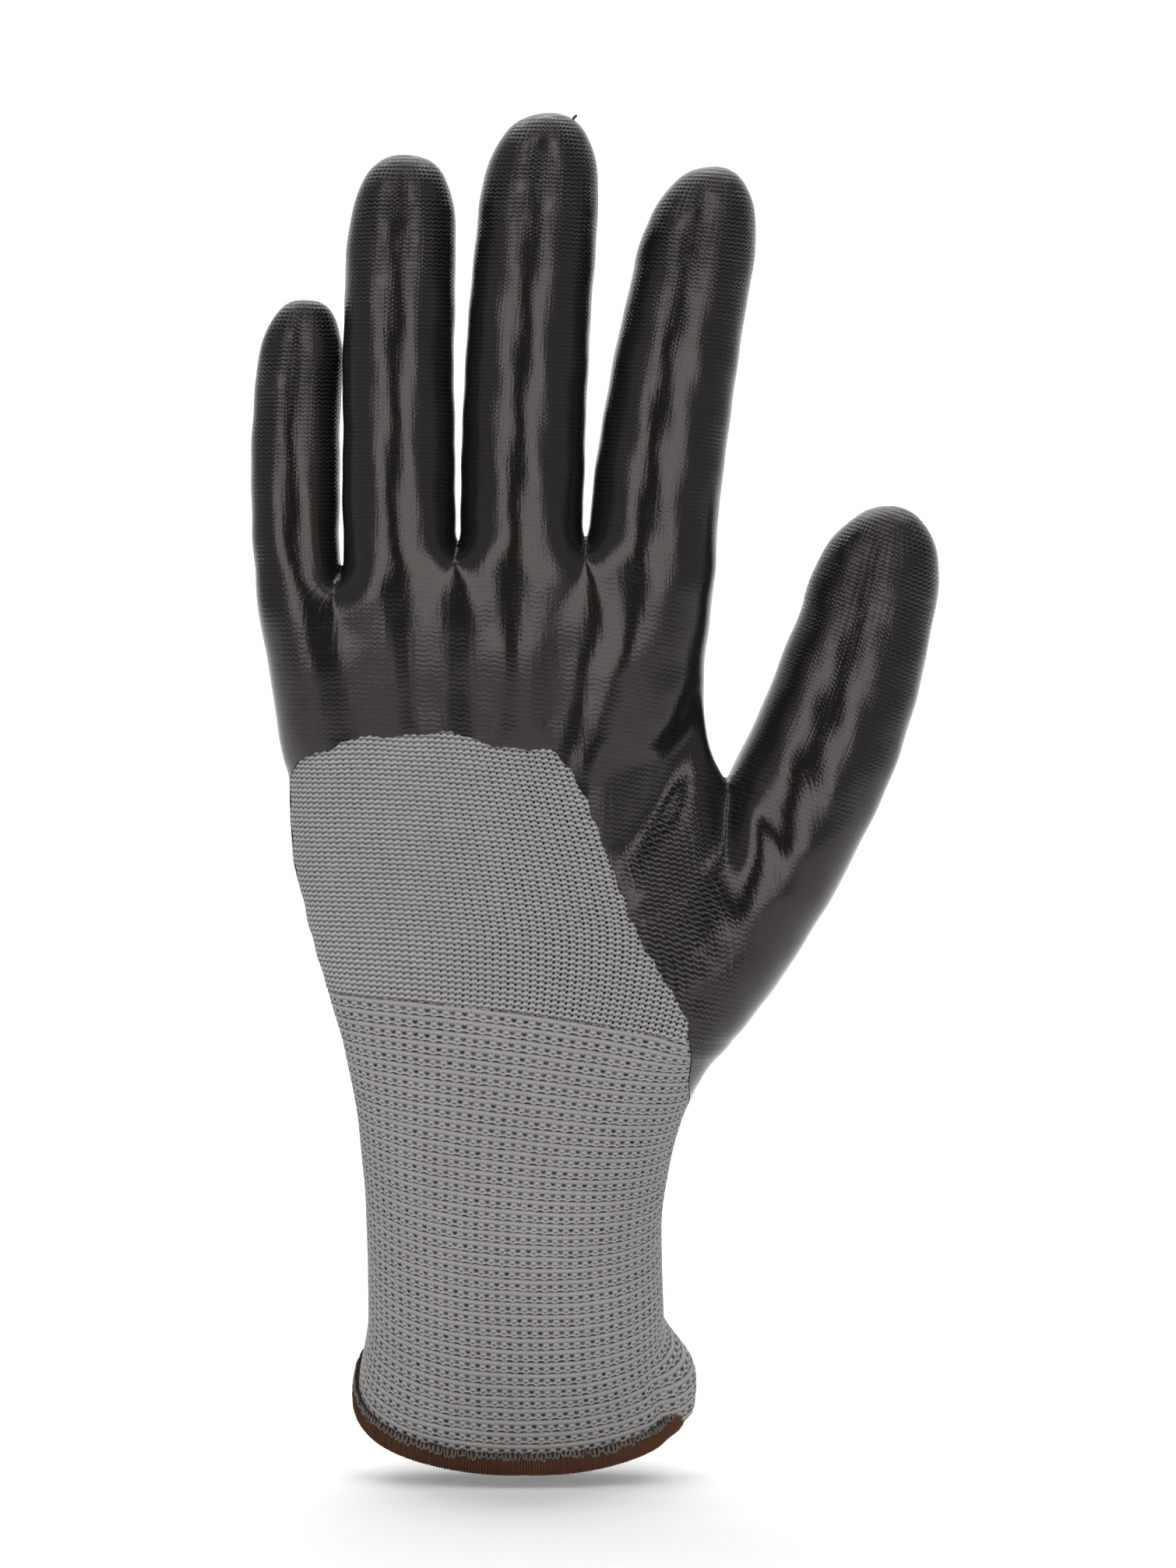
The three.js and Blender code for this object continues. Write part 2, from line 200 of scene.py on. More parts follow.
# Knit sizes.
COURSE = 0.9                  # row pitch of the panel
FINGER_COURSE = 0.78          # and of the fingers
PALM_WALES = 138              # round the hand
WALE = 1.66                   # wale pitch of the imprint in the hand's coating
RIB = 2.039                   # band pitch of the cuff
RIB_WALES = 80                # round the cuff
RIB_TOP = HEM_TOP + 37 * RIB  # where the cuff's bands end, at the little-finger side


# --- numeric helpers ----------------------------------------------------------
def smooth_min(a, b, k):
    h = np.maximum(k - np.abs(a - b), 0) / k
    return np.minimum(a, b) - h * h * k * 0.25


def smooth_max(a, b, k):
    return -smooth_min(-a, -b, k)


def smoothstep(low, high, value):
    t = np.clip((value - low) / (high - low), 0, 1)
    return t * t * (3 - 2 * t)


def signed_power(value, power):
    return np.sign(value) * np.abs(value) ** power


def table_at(rows, value):
    """A two-column table read at a value."""
    return np.interp(value, [row[0] for row in rows], [row[1] for row in rows])


class Profile:
    """A table read at any height, with its corners rounded off."""

    def __init__(self, rows, blur=3.0, step=0.5):
        table = np.array(rows, float)
        self.z = np.arange(table[0, 0], table[-1, 0] + step, step)
        reach = int(3 * blur / step)
        bell = np.exp(-0.5 * (np.arange(-reach, reach + 1) * step / blur) ** 2)
        bell /= bell.sum()
        self.columns = []
        for column in table[:, 1:].T:
            line = np.interp(self.z, table[:, 0], column)
            before = 2 * line[0] - line[reach:0:-1]
            after = 2 * line[-1] - line[-2:-reach - 2:-1]
            longer = np.concatenate([before, line, after])
            self.columns.append(np.convolve(longer, bell, "valid"))

    def __call__(self, z):
        return [np.interp(z, self.z, column) for column in self.columns]


BODY_PROFILE = Profile(BODY, 2.2)
DIGIT_PROFILES = {name: Profile(d["rows"], 3.0) for name, d in DIGITS.items()}


# --- the body: palm, wrist and cuff -------------------------------------------
def lean(height):
    """Centre y and tilt of the body's ring at a height."""
    below = np.maximum(WRIST_TOP - height, 0)
    return WRIST_BEND * below ** 2, np.arctan(2 * WRIST_BEND * below)


def roll(height):
    """How steeply the cuff's rows fall towards the thumb."""
    return ROLL * (0.15 + 0.85 * smoothstep(HEM_TOP, 34, height)) * (1 - smoothstep(50, 84, height))


HEIGHT_ROUNDS = 7
HEIGHT_STEP = 0.85


def body_height(x, y, z):
    """The height of the ring that a point lies on, and how deep in it the point lies."""
    height = z.copy()
    for _ in range(HEIGHT_ROUNDS):
        centre, tilt = lean(height)
        level = z + roll(height) * (x - ROLL_MIDDLE)
        off = -(y - centre) * np.sin(tilt) + (level - height) * np.cos(tilt)
        height = height + HEIGHT_STEP * off
    centre, tilt = lean(height)
    level = z + roll(height) * (x - ROLL_MIDDLE)
    return height, (y - centre) * np.cos(tilt) + (level - height) * np.sin(tilt)


def body_field(x, y, z):
    height, depth = body_height(x, y, z)
    left, right, back, palm = BODY_PROFILE(height)
    half = (palm - back) / 2
    u = (x - (left + right) / 2) / ((right - left) / 2)
    v = (depth - (palm + back) / 2) / half
    k = (np.abs(u) ** SQUARENESS + np.abs(v) ** SQUARENESS) ** (1 / SQUARENESS) + 1e-9
    across = (np.abs(u) / k) ** (SQUARENESS - 1) / ((right - left) / 2)
    through = (np.abs(v) / k) ** (SQUARENESS - 1) / half
    side = (k - 1) / np.sqrt(across ** 2 + through ** 2)
    web = table_at(WEB, x)
    return smooth_max(side, z - web, TOP_BLEND), height


def body_point(height, around, inset):
    """Design points on the body at heights and angles, moved inwards."""
    left, right, back, palm = BODY_PROFILE(height)
    centre, tilt = lean(height)
    wide = signed_power(np.cos(around), 2 / SQUARENESS)
    deep = signed_power(np.sin(around), 2 / SQUARENESS)
    x = (left + right) / 2 + ((right - left) / 2 - inset) * wide
    depth = (palm + back) / 2 + ((palm - back) / 2 - inset) * deep
    y = centre + depth * np.cos(tilt)
    z = height - roll(height) * (x - ROLL_MIDDLE) + depth * np.sin(tilt)
    return np.stack([x, y, z], -1)


AROUND = np.linspace(-TURN / 4, 3 * TURN / 4, 1441)


def arc_table(height):
    """Share of the way round the ring, from the middle of the back, at each angle."""
    ring = body_point(np.full(AROUND.shape, float(height)), AROUND, 0.0)
    length = np.concatenate([[0], np.cumsum(np.linalg.norm(np.diff(ring, axis=0), axis=1))])
    return length / length[-1]


ARC_HEIGHTS = np.array([12.5, 40, 65, 80, 95, 110, 130, 150, 176])
ARC_TABLES = [arc_table(h) for h in ARC_HEIGHTS]


def arc_share(height, around):
    """Share of the way round, at a point's height and angle."""
    around = (around + TURN / 4) % TURN - TURN / 4
    shares = np.stack([np.interp(around, AROUND, table) for table in ARC_TABLES])
    place = np.interp(height, ARC_HEIGHTS, np.arange(len(ARC_HEIGHTS)))
    low = np.minimum(place.astype(int), len(ARC_HEIGHTS) - 2)
    part = place - low
    index = np.arange(len(place))
    return shares[low, index] * (1 - part) + shares[low + 1, index] * part


def angle_at(height, share):
    """The angle at which a ring is that share of the way round."""
    return np.interp(share % 1.0, arc_table(height), AROUND)


def course_drop(x):
    """How far the panel's rows fall towards the thumb."""
    return 0.0017 * np.maximum(0, x + 48) ** 2


# --- digits -------------------------------------------------------------------
def digit_field(name, x, y, z):
    start, height, tip_x, power = DIGITS[name]["tip"]
    low = DIGITS[name]["rows"][0][0]
    centre_x, a, b, centre_y = DIGIT_PROFILES[name](np.clip(z, low, start))
    rise = np.maximum(0, z - start) / (height - start)
    slope = (tip_x - centre_x) * np.minimum(rise, 1)
    u, v = (x - centre_x - slope) / a, (y - centre_y) / b
    q = np.sqrt(u * u + v * v) + 1e-9
    k = (q ** power + rise ** power) ** (1 / power)
    radial = np.sqrt((u / a) ** 2 + (v / b) ** 2) / q * (q / k) ** (power - 1)
    upward = (rise / k) ** (power - 1) / (height - start)
    distance = (k - 1) / np.sqrt(radial ** 2 + upward ** 2)
    if name == "thumb":
        distance = distance * THUMB_SLOPE
    return smooth_max(distance, low - z, 4.0)


# --- relief: pads, ridges and creases -----------------------------------------
def bump(x, z, cx, cz, wide, tall):
    return np.exp(-((x - cx) / wide) ** 2 - ((z - cz) / tall) ** 2)


# Creases (x1, z1, x2, z2, width, depth), on the back (-1) or the palm side (1).
CREASES = [
    (-1, 21, 144, 2.5, 109, 3.4, 2.4), (-1, 19.5, 135, 25.5, 108, 2.2, 1.1),
    (-1, 29.5, 124, 34, 108, 2.4, 0.6),
    (1, -58, 158, -5, 162, 1.4, 0.6), (1, -52, 141, 2, 150, 1.7, 0.8),
    (1, -40, 126, 18, 137, 1.7, 0.8), (1, 16, 138, -8, 84, 2.0, 1.0),
    (1, 24, 128, 36, 112, 1.6, 0.9),
]
CREASE_LIP = 0.12             # how far a crease's lips stand, as a share of its depth

# Ridges that run back from the knuckles: x at height 165, x at 110, and how far they stand.
KNUCKLES = [(8.6, -5.0, 1.6), (-13.8, -16.5, 1.1), (-35.4, -32.0, 0.7), (-53.5, -48.5, 0.8)]
KNUCKLE_WIDTH = 5.4


def relief(x, y, z):
    """How far the surface stands proud of the plain shape."""
    back = smoothstep(2.0, -6.0, y)
    palm = smoothstep(2.0, 9.0, y)
    fade = smoothstep(108, 130, z) * (1 - smoothstep(146, 164, z))
    ridges = 0
    for base, root, tall in KNUCKLES:
        line = root + (base - root) * (z - 110) / 55
        ridges = ridges + tall * np.exp(-((x - line) / KNUCKLE_WIDTH) ** 2)
    total = back * fade * (ridges - 0.45)
    total = total + palm * (
        3.6 * bump(x, z, 14, 101, 15, 21) + 2.4 * bump(x, z, -39, 98, 13, 24)
        + 1.8 * bump(x, z, -18, 150, 36, 8) - 2.2 * bump(x, z, -15, 120, 15, 15)
    )
    # The back of the hand wavers least.
    calm = 1 - 0.65 * smoothstep(168, 158, z) * smoothstep(22, 12, x)
    small = np.sin(0.47 * z + 0.31 * x + 1) * np.sin(0.21 * z - 0.55 * x + 2)
    large = np.sin(0.19 * z - 0.23 * x) * np.sin(0.11 * z + 0.33 * x + 4)
    total = total + calm * (0.09 * small + 0.12 * large)
    for side, x1, z1, x2, z2, width, depth in CREASES:
        length = math.hypot(x2 - x1, z2 - z1)
        along = ((x - x1) * (x2 - x1) + (z - z1) * (z2 - z1)) / length
        off = ((x - x1) * (z2 - z1) - (z - z1) * (x2 - x1)) / length
        off = off + 0.9 * np.sin(along / length * math.pi)
        ends = smoothstep(-2, 5, along) * (1 - smoothstep(length * 0.5, length + 3, along))
        face = back if side < 0 else palm
        lips = np.exp(-((np.abs(off) - 2.4 * width) / (1.3 * width)) ** 2)
        total = total - face * ends * depth * np.exp(-(off / width) ** 2)
        total = total + face * ends * depth * CREASE_LIP * lips
    return total


FINGER_BLEND = 0.25           # how widely fingers run into each other along their length
WEB_BLEND = 9.0               # and how much more at their roots
LITTLE_WEB_DROP = 9.0         # the little finger parts from the next one this much lower


def field(points):
    """Distance from the glove's outer surface, below 0 inside."""
    x, y, z = points[:, 0], points[:, 1], points[:, 2]
    body, _ = body_field(x, y, z)
    fingers = None
    rise = z + LITTLE_WEB_DROP * smoothstep(-36, -47, x)
    web_width = FINGER_BLEND + WEB_BLEND * (1 - smoothstep(154, 171, rise))
    for name in FINGERS:
        digit = digit_field(name, x, y, z)
        fingers = digit if fingers is None else smooth_min(fingers, digit, web_width)
    total = smooth_min(body, fingers, PALM_BLEND)
    reach = 2.0 + 6.5 * (1 - smoothstep(90, 118, z))
    total = smooth_min(total, digit_field("thumb", x, y, z), reach)
    return total - relief(x, y, z)


def gradient(points, step=0.25):
    corners = np.array([(1, -1, -1), (-1, -1, 1), (-1, 1, -1), (1, 1, 1)], float)
    total = np.zeros_like(points)
    for corner in corners:
        total += corner * field(points + step * corner)[:, None]
    return total / (4 * step)


LEAST_SLOPE, LONGEST_MOVE = 0.2, 1.5


def settle(points, level=0.0, rounds=3):
    """Points moved onto the surface at a level, and the surface's outward normals."""
    for _ in range(rounds):
        slope = gradient(points)
        size = np.maximum((slope ** 2).sum(1), LEAST_SLOPE)
        move = (field(points) - level)[:, None] * slope / size[:, None]
        far = np.linalg.norm(move, axis=1, keepdims=True)
        points = points - move * np.minimum(1, LONGEST_MOVE / np.maximum(far, 1e-9))
    slope = gradient(points)
    return points, slope / np.linalg.norm(slope, axis=1, keepdims=True)


# --- the skin as a mesh -------------------------------------------------------
def surface_net(low, high, pitch):
    """Quads round the field's zero level, one vertex to each cell that it crosses."""
    coarse = 4
    counts = (np.ceil((high - low) / (pitch * coarse)).astype(int)) * coarse + 1
    axes = [low[i] + pitch * np.arange(counts[i]) for i in range(3)]
    rough = [axis[::coarse] for axis in axes]
    grid = np.stack(np.meshgrid(*rough, indexing="ij"), -1)
    rough_field = field(grid.reshape(-1, 3)).reshape(grid.shape[:3])
    nearest = [np.minimum((np.arange(n) + coarse // 2) // coarse, len(r) - 1)
               for n, r in zip(counts, rough)]
    values = rough_field[np.ix_(*nearest)]
    close = np.abs(values) < pitch * coarse * 1.9
    ijk = np.argwhere(close)
    values[close] = field(np.stack([axes[i][ijk[:, i]] for i in range(3)], -1))

    inside = values < 0
    cells = np.zeros(tuple(c - 1 for c in counts), np.int8)
    offsets = [(i, j, k) for i in (0, 1) for j in (0, 1) for k in (0, 1)]
    for o in offsets:
        cells += inside[tuple(slice(o[i], counts[i] - 1 + o[i]) for i in range(3))]
    crossed = np.argwhere((cells > 0) & (cells < 8))
    number = np.full(cells.shape, -1, np.int64)
    number[tuple(crossed.T)] = np.arange(len(crossed))
    total, hits = np.zeros((len(crossed), 3)), np.zeros(len(crossed))
    for axis in range(3):
        step = np.eye(3, dtype=int)[axis]
        for o in offsets:
            if o[axis]:
                continue
            first = crossed + np.array(o)
            second = first + step
            va, vb = values[tuple(first.T)], values[tuple(second.T)]
            cut = (va < 0) != (vb < 0)
            share = np.where(cut, va / np.where(cut, va - vb, 1), 0)
            total += np.where(cut[:, None], first + share[:, None] * step, 0)
            hits += cut
    points = low + pitch * total / hits[:, None]

    quads = []
    for axis in range(3):
        one, two = (axis + 1) % 3, (axis + 2) % 3
        size = list(counts)
        size[axis] -= 1
        step = np.eye(3, dtype=int)[axis]
        a = inside[tuple(slice(0, size[i]) for i in range(3))]
        b = inside[tuple(slice(step[i], size[i] + step[i]) for i in range(3))]
        edges = np.argwhere(a != b)
        edges = edges[(edges[:, one] > 0) & (edges[:, two] > 0)
                      & (edges[:, one] < counts[one] - 1) & (edges[:, two] < counts[two] - 1)]
        u, v = np.eye(3, dtype=int)[one], np.eye(3, dtype=int)[two]
        ring = [number[tuple((edges - s * u - t * v).T)]
                for s, t in ((1, 1), (0, 1), (0, 0), (1, 0))]
        quad = np.stack(ring, -1)
        outward = a[tuple(edges.T)]
        quad[~outward] = quad[~outward][:, ::-1]
        quads.append(quad)
    return points, np.concatenate(quads)


def clip(points, normals, triangles, g):
    """The part of a mesh where g is below 0, cut along its zero line."""
    keep = g < 0
    count = keep[triangles].sum(1)
    whole = triangles[count == 3]
    extra, index = [], {}
    pieces = []

    def cut(a, b):
        key = (a, b) if a < b else (b, a)
        if key not in index:
            index[key] = len(points) + len(extra)
            extra.append((*key, g[key[0]] / (g[key[0]] - g[key[1]])))
        return index[key]

    rim = []
    for triangle in triangles[(count > 0) & (count < 3)]:
        inside = [keep[t] for t in triangle]
        alone = sum(inside) == 1
        a, b, c = np.roll(triangle, -inside.index(alone))
        ab, ac = cut(a, b), cut(a, c)
        pieces += [(a, ab, ac)] if alone else [(ab, b, c), (ab, c, ac)]
        rim.append((ab, ac) if alone else (ac, ab))
    if extra:
        a, b, share = (np.array(column) for column in zip(*extra))
        share = share[:, None]
        points = np.concatenate([points, points[a] * (1 - share) + points[b] * share])
        blend = normals[a] * (1 - share) + normals[b] * share
        normals = np.concatenate([normals, blend / np.linalg.norm(blend, axis=1, keepdims=True)])
        g = np.concatenate([g, np.zeros(len(extra))])
        whole = np.concatenate([whole, np.array(pieces, int)])
    return points, normals, whole, g, np.array(rim, int).reshape(-1, 2)


# --- where the knit is bare ---------------------------------------------------
def round_curve(points, per_step):
    """A Catmull-Rom curve through points."""
    p = np.array(points, float)
    p = np.concatenate([[2 * p[0] - p[1]], p, [2 * p[-1] - p[-2]]])
    t = np.linspace(0, 1, per_step, endpoint=False)[:, None]
    spans = [0.5 * (2 * b + (c - a) * t + (2 * a - 5 * b + 4 * c - d) * t ** 2
                    + (3 * b - a - 3 * c + d) * t ** 3)
             for a, b, c, d in zip(p[:-3], p[1:-2], p[2:-1], p[3:])]
    return np.concatenate(spans + [p[-2:-1]])


BARE_OUTLINE = np.concatenate([round_curve(BARE_EDGE, 5), [(17, 30), (-80, 30), (-80, 117)]])


def outline_distance(outline, u, v):
    """Distance into a closed outline, below 0 outside."""
    best = np.full(u.shape, 1e9)
    inside = np.zeros(u.shape, bool)
    for (ax, ay), (bx, by) in zip(outline, np.roll(outline, -1, axis=0)):
        dx, dy = bx - ax, by - ay
        t = np.clip(((u - ax) * dx + (v - ay) * dy) / (dx * dx + dy * dy + 1e-12), 0, 1)
        best = np.minimum(best, np.hypot(u - ax - t * dx, v - ay - t * dy))
        if ay != by:
            crosses = ((ay > v) != (by > v)) & (u < (bx - ax) * (v - ay) / (by - ay) + ax)
            inside ^= crosses
    return np.where(inside, best, -best)


def bare(points):
    """Above 0 where the dip leaves the knit bare: the distance from the coating's edge."""
    x, y, z = points.T
    height, _ = body_height(x, y, z)
    back = np.minimum(outline_distance(BARE_OUTLINE, x, z), BARE_DEPTH - y)
    limit = table_at(SIDE_EDGE, y)
    side = np.minimum(np.minimum((limit - z) * SIDE_SLOPE, -25 - x), y + 4)
    bottom = np.minimum(COAT_BOTTOM + 1.2 * np.sin(x * 0.13 + 1) - height, 90 - z)
    edge = smooth_max(smooth_max(back, side, 3.0), bottom, 2.0)
    drift = 0.35 * np.sin(x * 0.35 + z * 0.22) + 0.2 * np.sin(x * 0.9 - z * 0.7 + 2)
    loops = 0.16 * np.sin(TURN * x / WALE) + 0.12 * np.sin(TURN * z / COURSE)
    return edge + drift + loops


# --- meshes -------------------------------------------------------------------
def new_object(name, points, faces, normals=None, knit=None, bake=None, values=None):
    """A mesh object from design points. knit and bake are per-corner maps, values per-point."""
    mesh = bpy.data.meshes.new(name)
    faces = np.asarray(faces, np.int32)
    sides = faces.shape[1]
    mesh.vertices.add(len(points))
    mesh.vertices.foreach_set("co", to_frame(points).astype(np.float32).ravel())
    mesh.loops.add(faces.size)
    mesh.loops.foreach_set("vertex_index", faces.ravel())
    mesh.polygons.add(len(faces))
    mesh.polygons.foreach_set("loop_start", np.arange(0, faces.size, sides, dtype=np.int32))
    for layer_name, layer in (("knit", knit), ("OFBake", bake)):
        if layer is not None:
            made = mesh.uv_layers.new(name=layer_name)
            made.data.foreach_set("uv", np.asarray(layer, np.float32).ravel())
    for value_name, value in (values or {}).items():
        made = mesh.attributes.new(value_name, "FLOAT", "POINT")
        made.data.foreach_set("value", np.asarray(value, np.float32))
    mesh.update(calc_edges=True)
    mesh.shade_smooth()
    if normals is not None:
        mesh.normals_split_custom_set_from_vertices(normals.tolist())
    obj = bpy.data.objects.new(name, mesh)
    bpy.context.scene.collection.objects.link(obj)
    return obj


def compact(faces, *arrays):
    """Faces renumbered to the vertices they use, and those vertices' rows of each array."""
    used, renumbered = np.unique(faces, return_inverse=True)
    return (renumbered.reshape(faces.shape), *[a[used] for a in arrays])


def unwrap(values, period):
    """Per-corner values of one face brought to the same turn."""
    first = values[:, :1]
    return values - np.round((values - first) / period) * period


# --- materials ----------------------------------------------------------------
class Maths:
    """Shader arithmetic, written as ordinary arithmetic."""

    def __init__(self, tree, socket):
        self.tree, self.socket = tree, socket

    def _op(self, operation, *others, clamp=False):
        node = self.tree.nodes.new("ShaderNodeMath")
        node.operation, node.use_clamp = operation, clamp
        for slot, value in zip(node.inputs, (self, *others)):
            if isinstance(value, Maths):
                self.tree.links.new(value.socket, slot)
            else:
                slot.default_value = value
        return Maths(self.tree, node.outputs[0])

    def __add__(self, other):
        return self._op("ADD", other)

    def __sub__(self, other):
        return self._op("SUBTRACT", other)

    def __mul__(self, other):
        return self._op("MULTIPLY", other)

    __radd__, __rmul__ = __add__, __mul__

    def __rsub__(self, other):
        return self * -1.0 + other

    def wave(self, turns=1.0, phase=0.0):
        """Cosine of this many turns."""
        return (self * (TURN * turns) + phase)._op("COSINE")

    def fract(self):
        return self._op("FRACT")

    def abs(self):
        return self._op("ABSOLUTE")

    def maximum(self, other):
        return self._op("MAXIMUM", other)

    def minimum(self, other):
        return self._op("MINIMUM", other)

    def ramp(self, low, high):
        """0 below low, 1 above high, smooth between."""
        node = self.tree.nodes.new("ShaderNodeMapRange")
        node.interpolation_type = "SMOOTHSTEP"
        self.tree.links.new(self.socket, node.inputs["Value"])
        node.inputs["From Min"].default_value = low
        node.inputs["From Max"].default_value = high
        return Maths(self.tree, node.outputs["Result"])

    def bell(self, width):
        """1 at 0, falling off to either side."""
        return (self * (1 / width)).abs().ramp(1.8, 0.0)


def mix_colours(tree, share, first, second):
    node = tree.nodes.new("ShaderNodeMix")
    node.data_type = "RGBA"
    tree.links.new(share.socket, node.inputs["Factor"])
    for slot, colour in ((6, first), (7, second)):
        if isinstance(colour, tuple):
            node.inputs[slot].default_value = (*colour, 1)
        else:
            tree.links.new(colour, node.inputs[slot])
    return node.outputs[2]


def new_material(name):
    material = bpy.data.materials.new(name)
    material.use_nodes = True
    tree = material.node_tree
    return material, tree, tree.nodes["Principled BSDF"]


def place_noise(tree, scale, detail=2.0, rough=0.5):
    """Noise by place on the object, scale in features per metre."""
    coords = tree.nodes.new("ShaderNodeTexCoord")
    node = tree.nodes.new("ShaderNodeTexNoise")
    node.inputs["Scale"].default_value = scale
    node.inputs["Detail"].default_value = detail
    node.inputs["Roughness"].default_value = rough
    tree.links.new(coords.outputs["Object"], node.inputs["Vector"])
    return Maths(tree, node.outputs["Fac"])


def stretched_noise(tree, along, across):
    """Noise on the knit's own coordinates, so that it can be drawn out along the yarn."""
    join = tree.nodes.new("ShaderNodeCombineXYZ")
    tree.links.new(along.socket, join.inputs[0])
    tree.links.new(across.socket, join.inputs[1])
    node = tree.nodes.new("ShaderNodeTexNoise")
    node.inputs["Scale"].default_value = 1.0
    node.inputs["Detail"].default_value = 2.0
    tree.links.new(join.outputs[0], node.inputs["Vector"])
    return Maths(tree, node.outputs["Fac"])


def knit_coordinates(tree):
    layer = tree.nodes.new("ShaderNodeUVMap")
    layer.uv_map = "knit"
    split = tree.nodes.new("ShaderNodeSeparateXYZ")
    tree.links.new(layer.outputs["UV"], split.inputs[0])
    return Maths(tree, split.outputs[0]), Maths(tree, split.outputs[1])


def attribute(tree, name):
    node = tree.nodes.new("ShaderNodeAttribute")
    node.attribute_name = name
    return Maths(tree, node.outputs["Fac"])


def add_bump(tree, shader, height, distance):
    node = tree.nodes.new("ShaderNodeBump")
    node.inputs["Strength"].default_value = 1.0
    node.inputs["Distance"].default_value = distance
    tree.links.new(height.socket, node.inputs["Height"])
    tree.links.new(node.outputs["Normal"], shader.inputs["Normal"])


def panel_pattern(row, wale, openness):
    """Painted shade of the gaps and grooves in the plain knit, and the height of its yarn, which is
    also painted lighter as a highlight.

    Each loop leaves a large gap and a small one, joined by a thin slanting line.
    """
    near = wale.wave(1, -0.2 * TURN)
    far = wale.wave(1, -0.8 * TURN)
    tilt = wale.wave(1, -0.45 * TURN)
    big = ((row + 0.17 - tilt * 0.1).fract() - 0.5).bell(0.27) * near.ramp(-0.1, 1.0)
    small = ((row - 0.15).fract() - 0.5).bell(0.2) * far.ramp(0.3, 1.0) * 0.72
    swing = wale.wave(1, 0.25 * TURN) + wale.wave(2, 0.25 * TURN) * 0.3
    place = (row - swing * 0.13).fract() - 0.5
    line = place.bell(0.17) * (0.55 - openness * 0.3)
    # Painted shade: the gaps and the slanting groove line are drawn dark, more where the knit is
    # open.
    dark = line.maximum(big.maximum(small) * (0.45 + openness * 0.55))
    return dark, place.abs().ramp(0.1, 0.45)


def rib_pattern(row, wale):
    """The same painted shade and painted-lighter yarn height for the cuff's bands, with where its
    smooth yarn lies.
    """
    place = row.fract()
    loop = wale.wave(1)
    between = loop * -1.0
    lobes = wale.wave(2)
    edge = 0.055 - loop * 0.03
    line = (place - edge).bell(0.07).maximum((place - edge - 1.0).bell(0.07))
    line = line * between.ramp(-1.6, 0.5)
    heart = (place - 0.5 + lobes * 0.05).bell(0.125) * between.ramp(-0.1, 0.75)
    low_dot = (place - 0.285).bell(0.07) * loop.ramp(0.45, 1.0) * 0.8
    high_dot = (place - 0.69).bell(0.06) * loop.ramp(0.45, 1.0) * 0.42
    # Painted shade: the band's edge line, the holes between loops and two rows of dots are drawn
    # dark.
    dark = line.maximum(heart).maximum(low_dot).maximum(high_dot)
    smooth = place.ramp(0.68, 0.78) * (1.0 - place.ramp(0.93, 1.0))
    # crown is the yarn's height, also painted lighter as a highlight on the smooth band and the
    # loops.
    crown = smooth * 0.42 + (place - 0.2 + loop * 0.035).bell(0.08) * 0.9
    crown = crown.maximum((place - 0.47).bell(0.1) * loop.ramp(0.3, 0.9) * 0.9)
    return dark, crown, smooth


def knit_material(name, ribbed, inside=False):
    material, tree, shader = new_material(name)
    row, wale = knit_coordinates(tree)
    wander = place_noise(tree, 260, 2) - 0.5
    row = row + wander * 0.16
    wale = wale + (place_noise(tree, 190, 1) - 0.5) * 0.3
    fibre = place_noise(tree, 5200, 3, 0.7)
    blotch = place_noise(tree, 700, 2)
    broad = place_noise(tree, 45, 2)
    if ribbed:
        dark, crown, smooth = rib_pattern(row, wale)
        tint = smooth * 0.8
    else:
        openness = attribute(tree, "open_knit") * (0.75 + blotch * 0.4)
        dark, crown = panel_pattern(row, wale, openness)
        tint = blotch.ramp(0.4, 0.7) * 0.5
    # Painted shade of the gaps and grooves, made stronger or weaker in random patches.
    dark = (dark * ((0.9 if ribbed else 1.2) + (blotch - 0.5) * 1.2)).minimum(1.0).maximum(0.0)
    plies = (wale * (6.0 if ribbed else 4.0) + row * 3.0).wave(1) * 0.5 + 0.5
    yarn = mix_colours(tree, tint, (0.225, 0.220, 0.219), (0.240, 0.222, 0.218))
    # Painted highlight: the raised yarn (crown) is mixed lighter, with the fibres' speckle, light
    # stripes along the plies and broad patches of tone.
    share = crown * 0.62 + fibre * 0.6 + plies * 0.16 - 0.32 + (broad - 0.5) * 0.25
    lit = mix_colours(tree, share, yarn, (0.47, 0.458, 0.455))
    # Painted shade: the gaps and grooves are mixed towards near black.
    colour = mix_colours(tree, dark, lit, (0.014, 0.0125, 0.012))
    tree.links.new(colour, shader.inputs["Base Color"])
    shader.inputs["Roughness"].default_value = 0.82
    shader.inputs["Sheen Roughness"].default_value = 0.5
    open_share = 1.0 - dark
    tree.links.new((open_share * 0.1).socket, shader.inputs["Sheen Weight"])
    tree.links.new((open_share * 0.25).socket, shader.inputs["Specular IOR Level"])
    height = crown * 0.6 - dark * 1.0 + fibre * 0.28 + plies * 0.12
    add_bump(tree, shader, height, 0.0002 if inside else 0.00012)
    return material


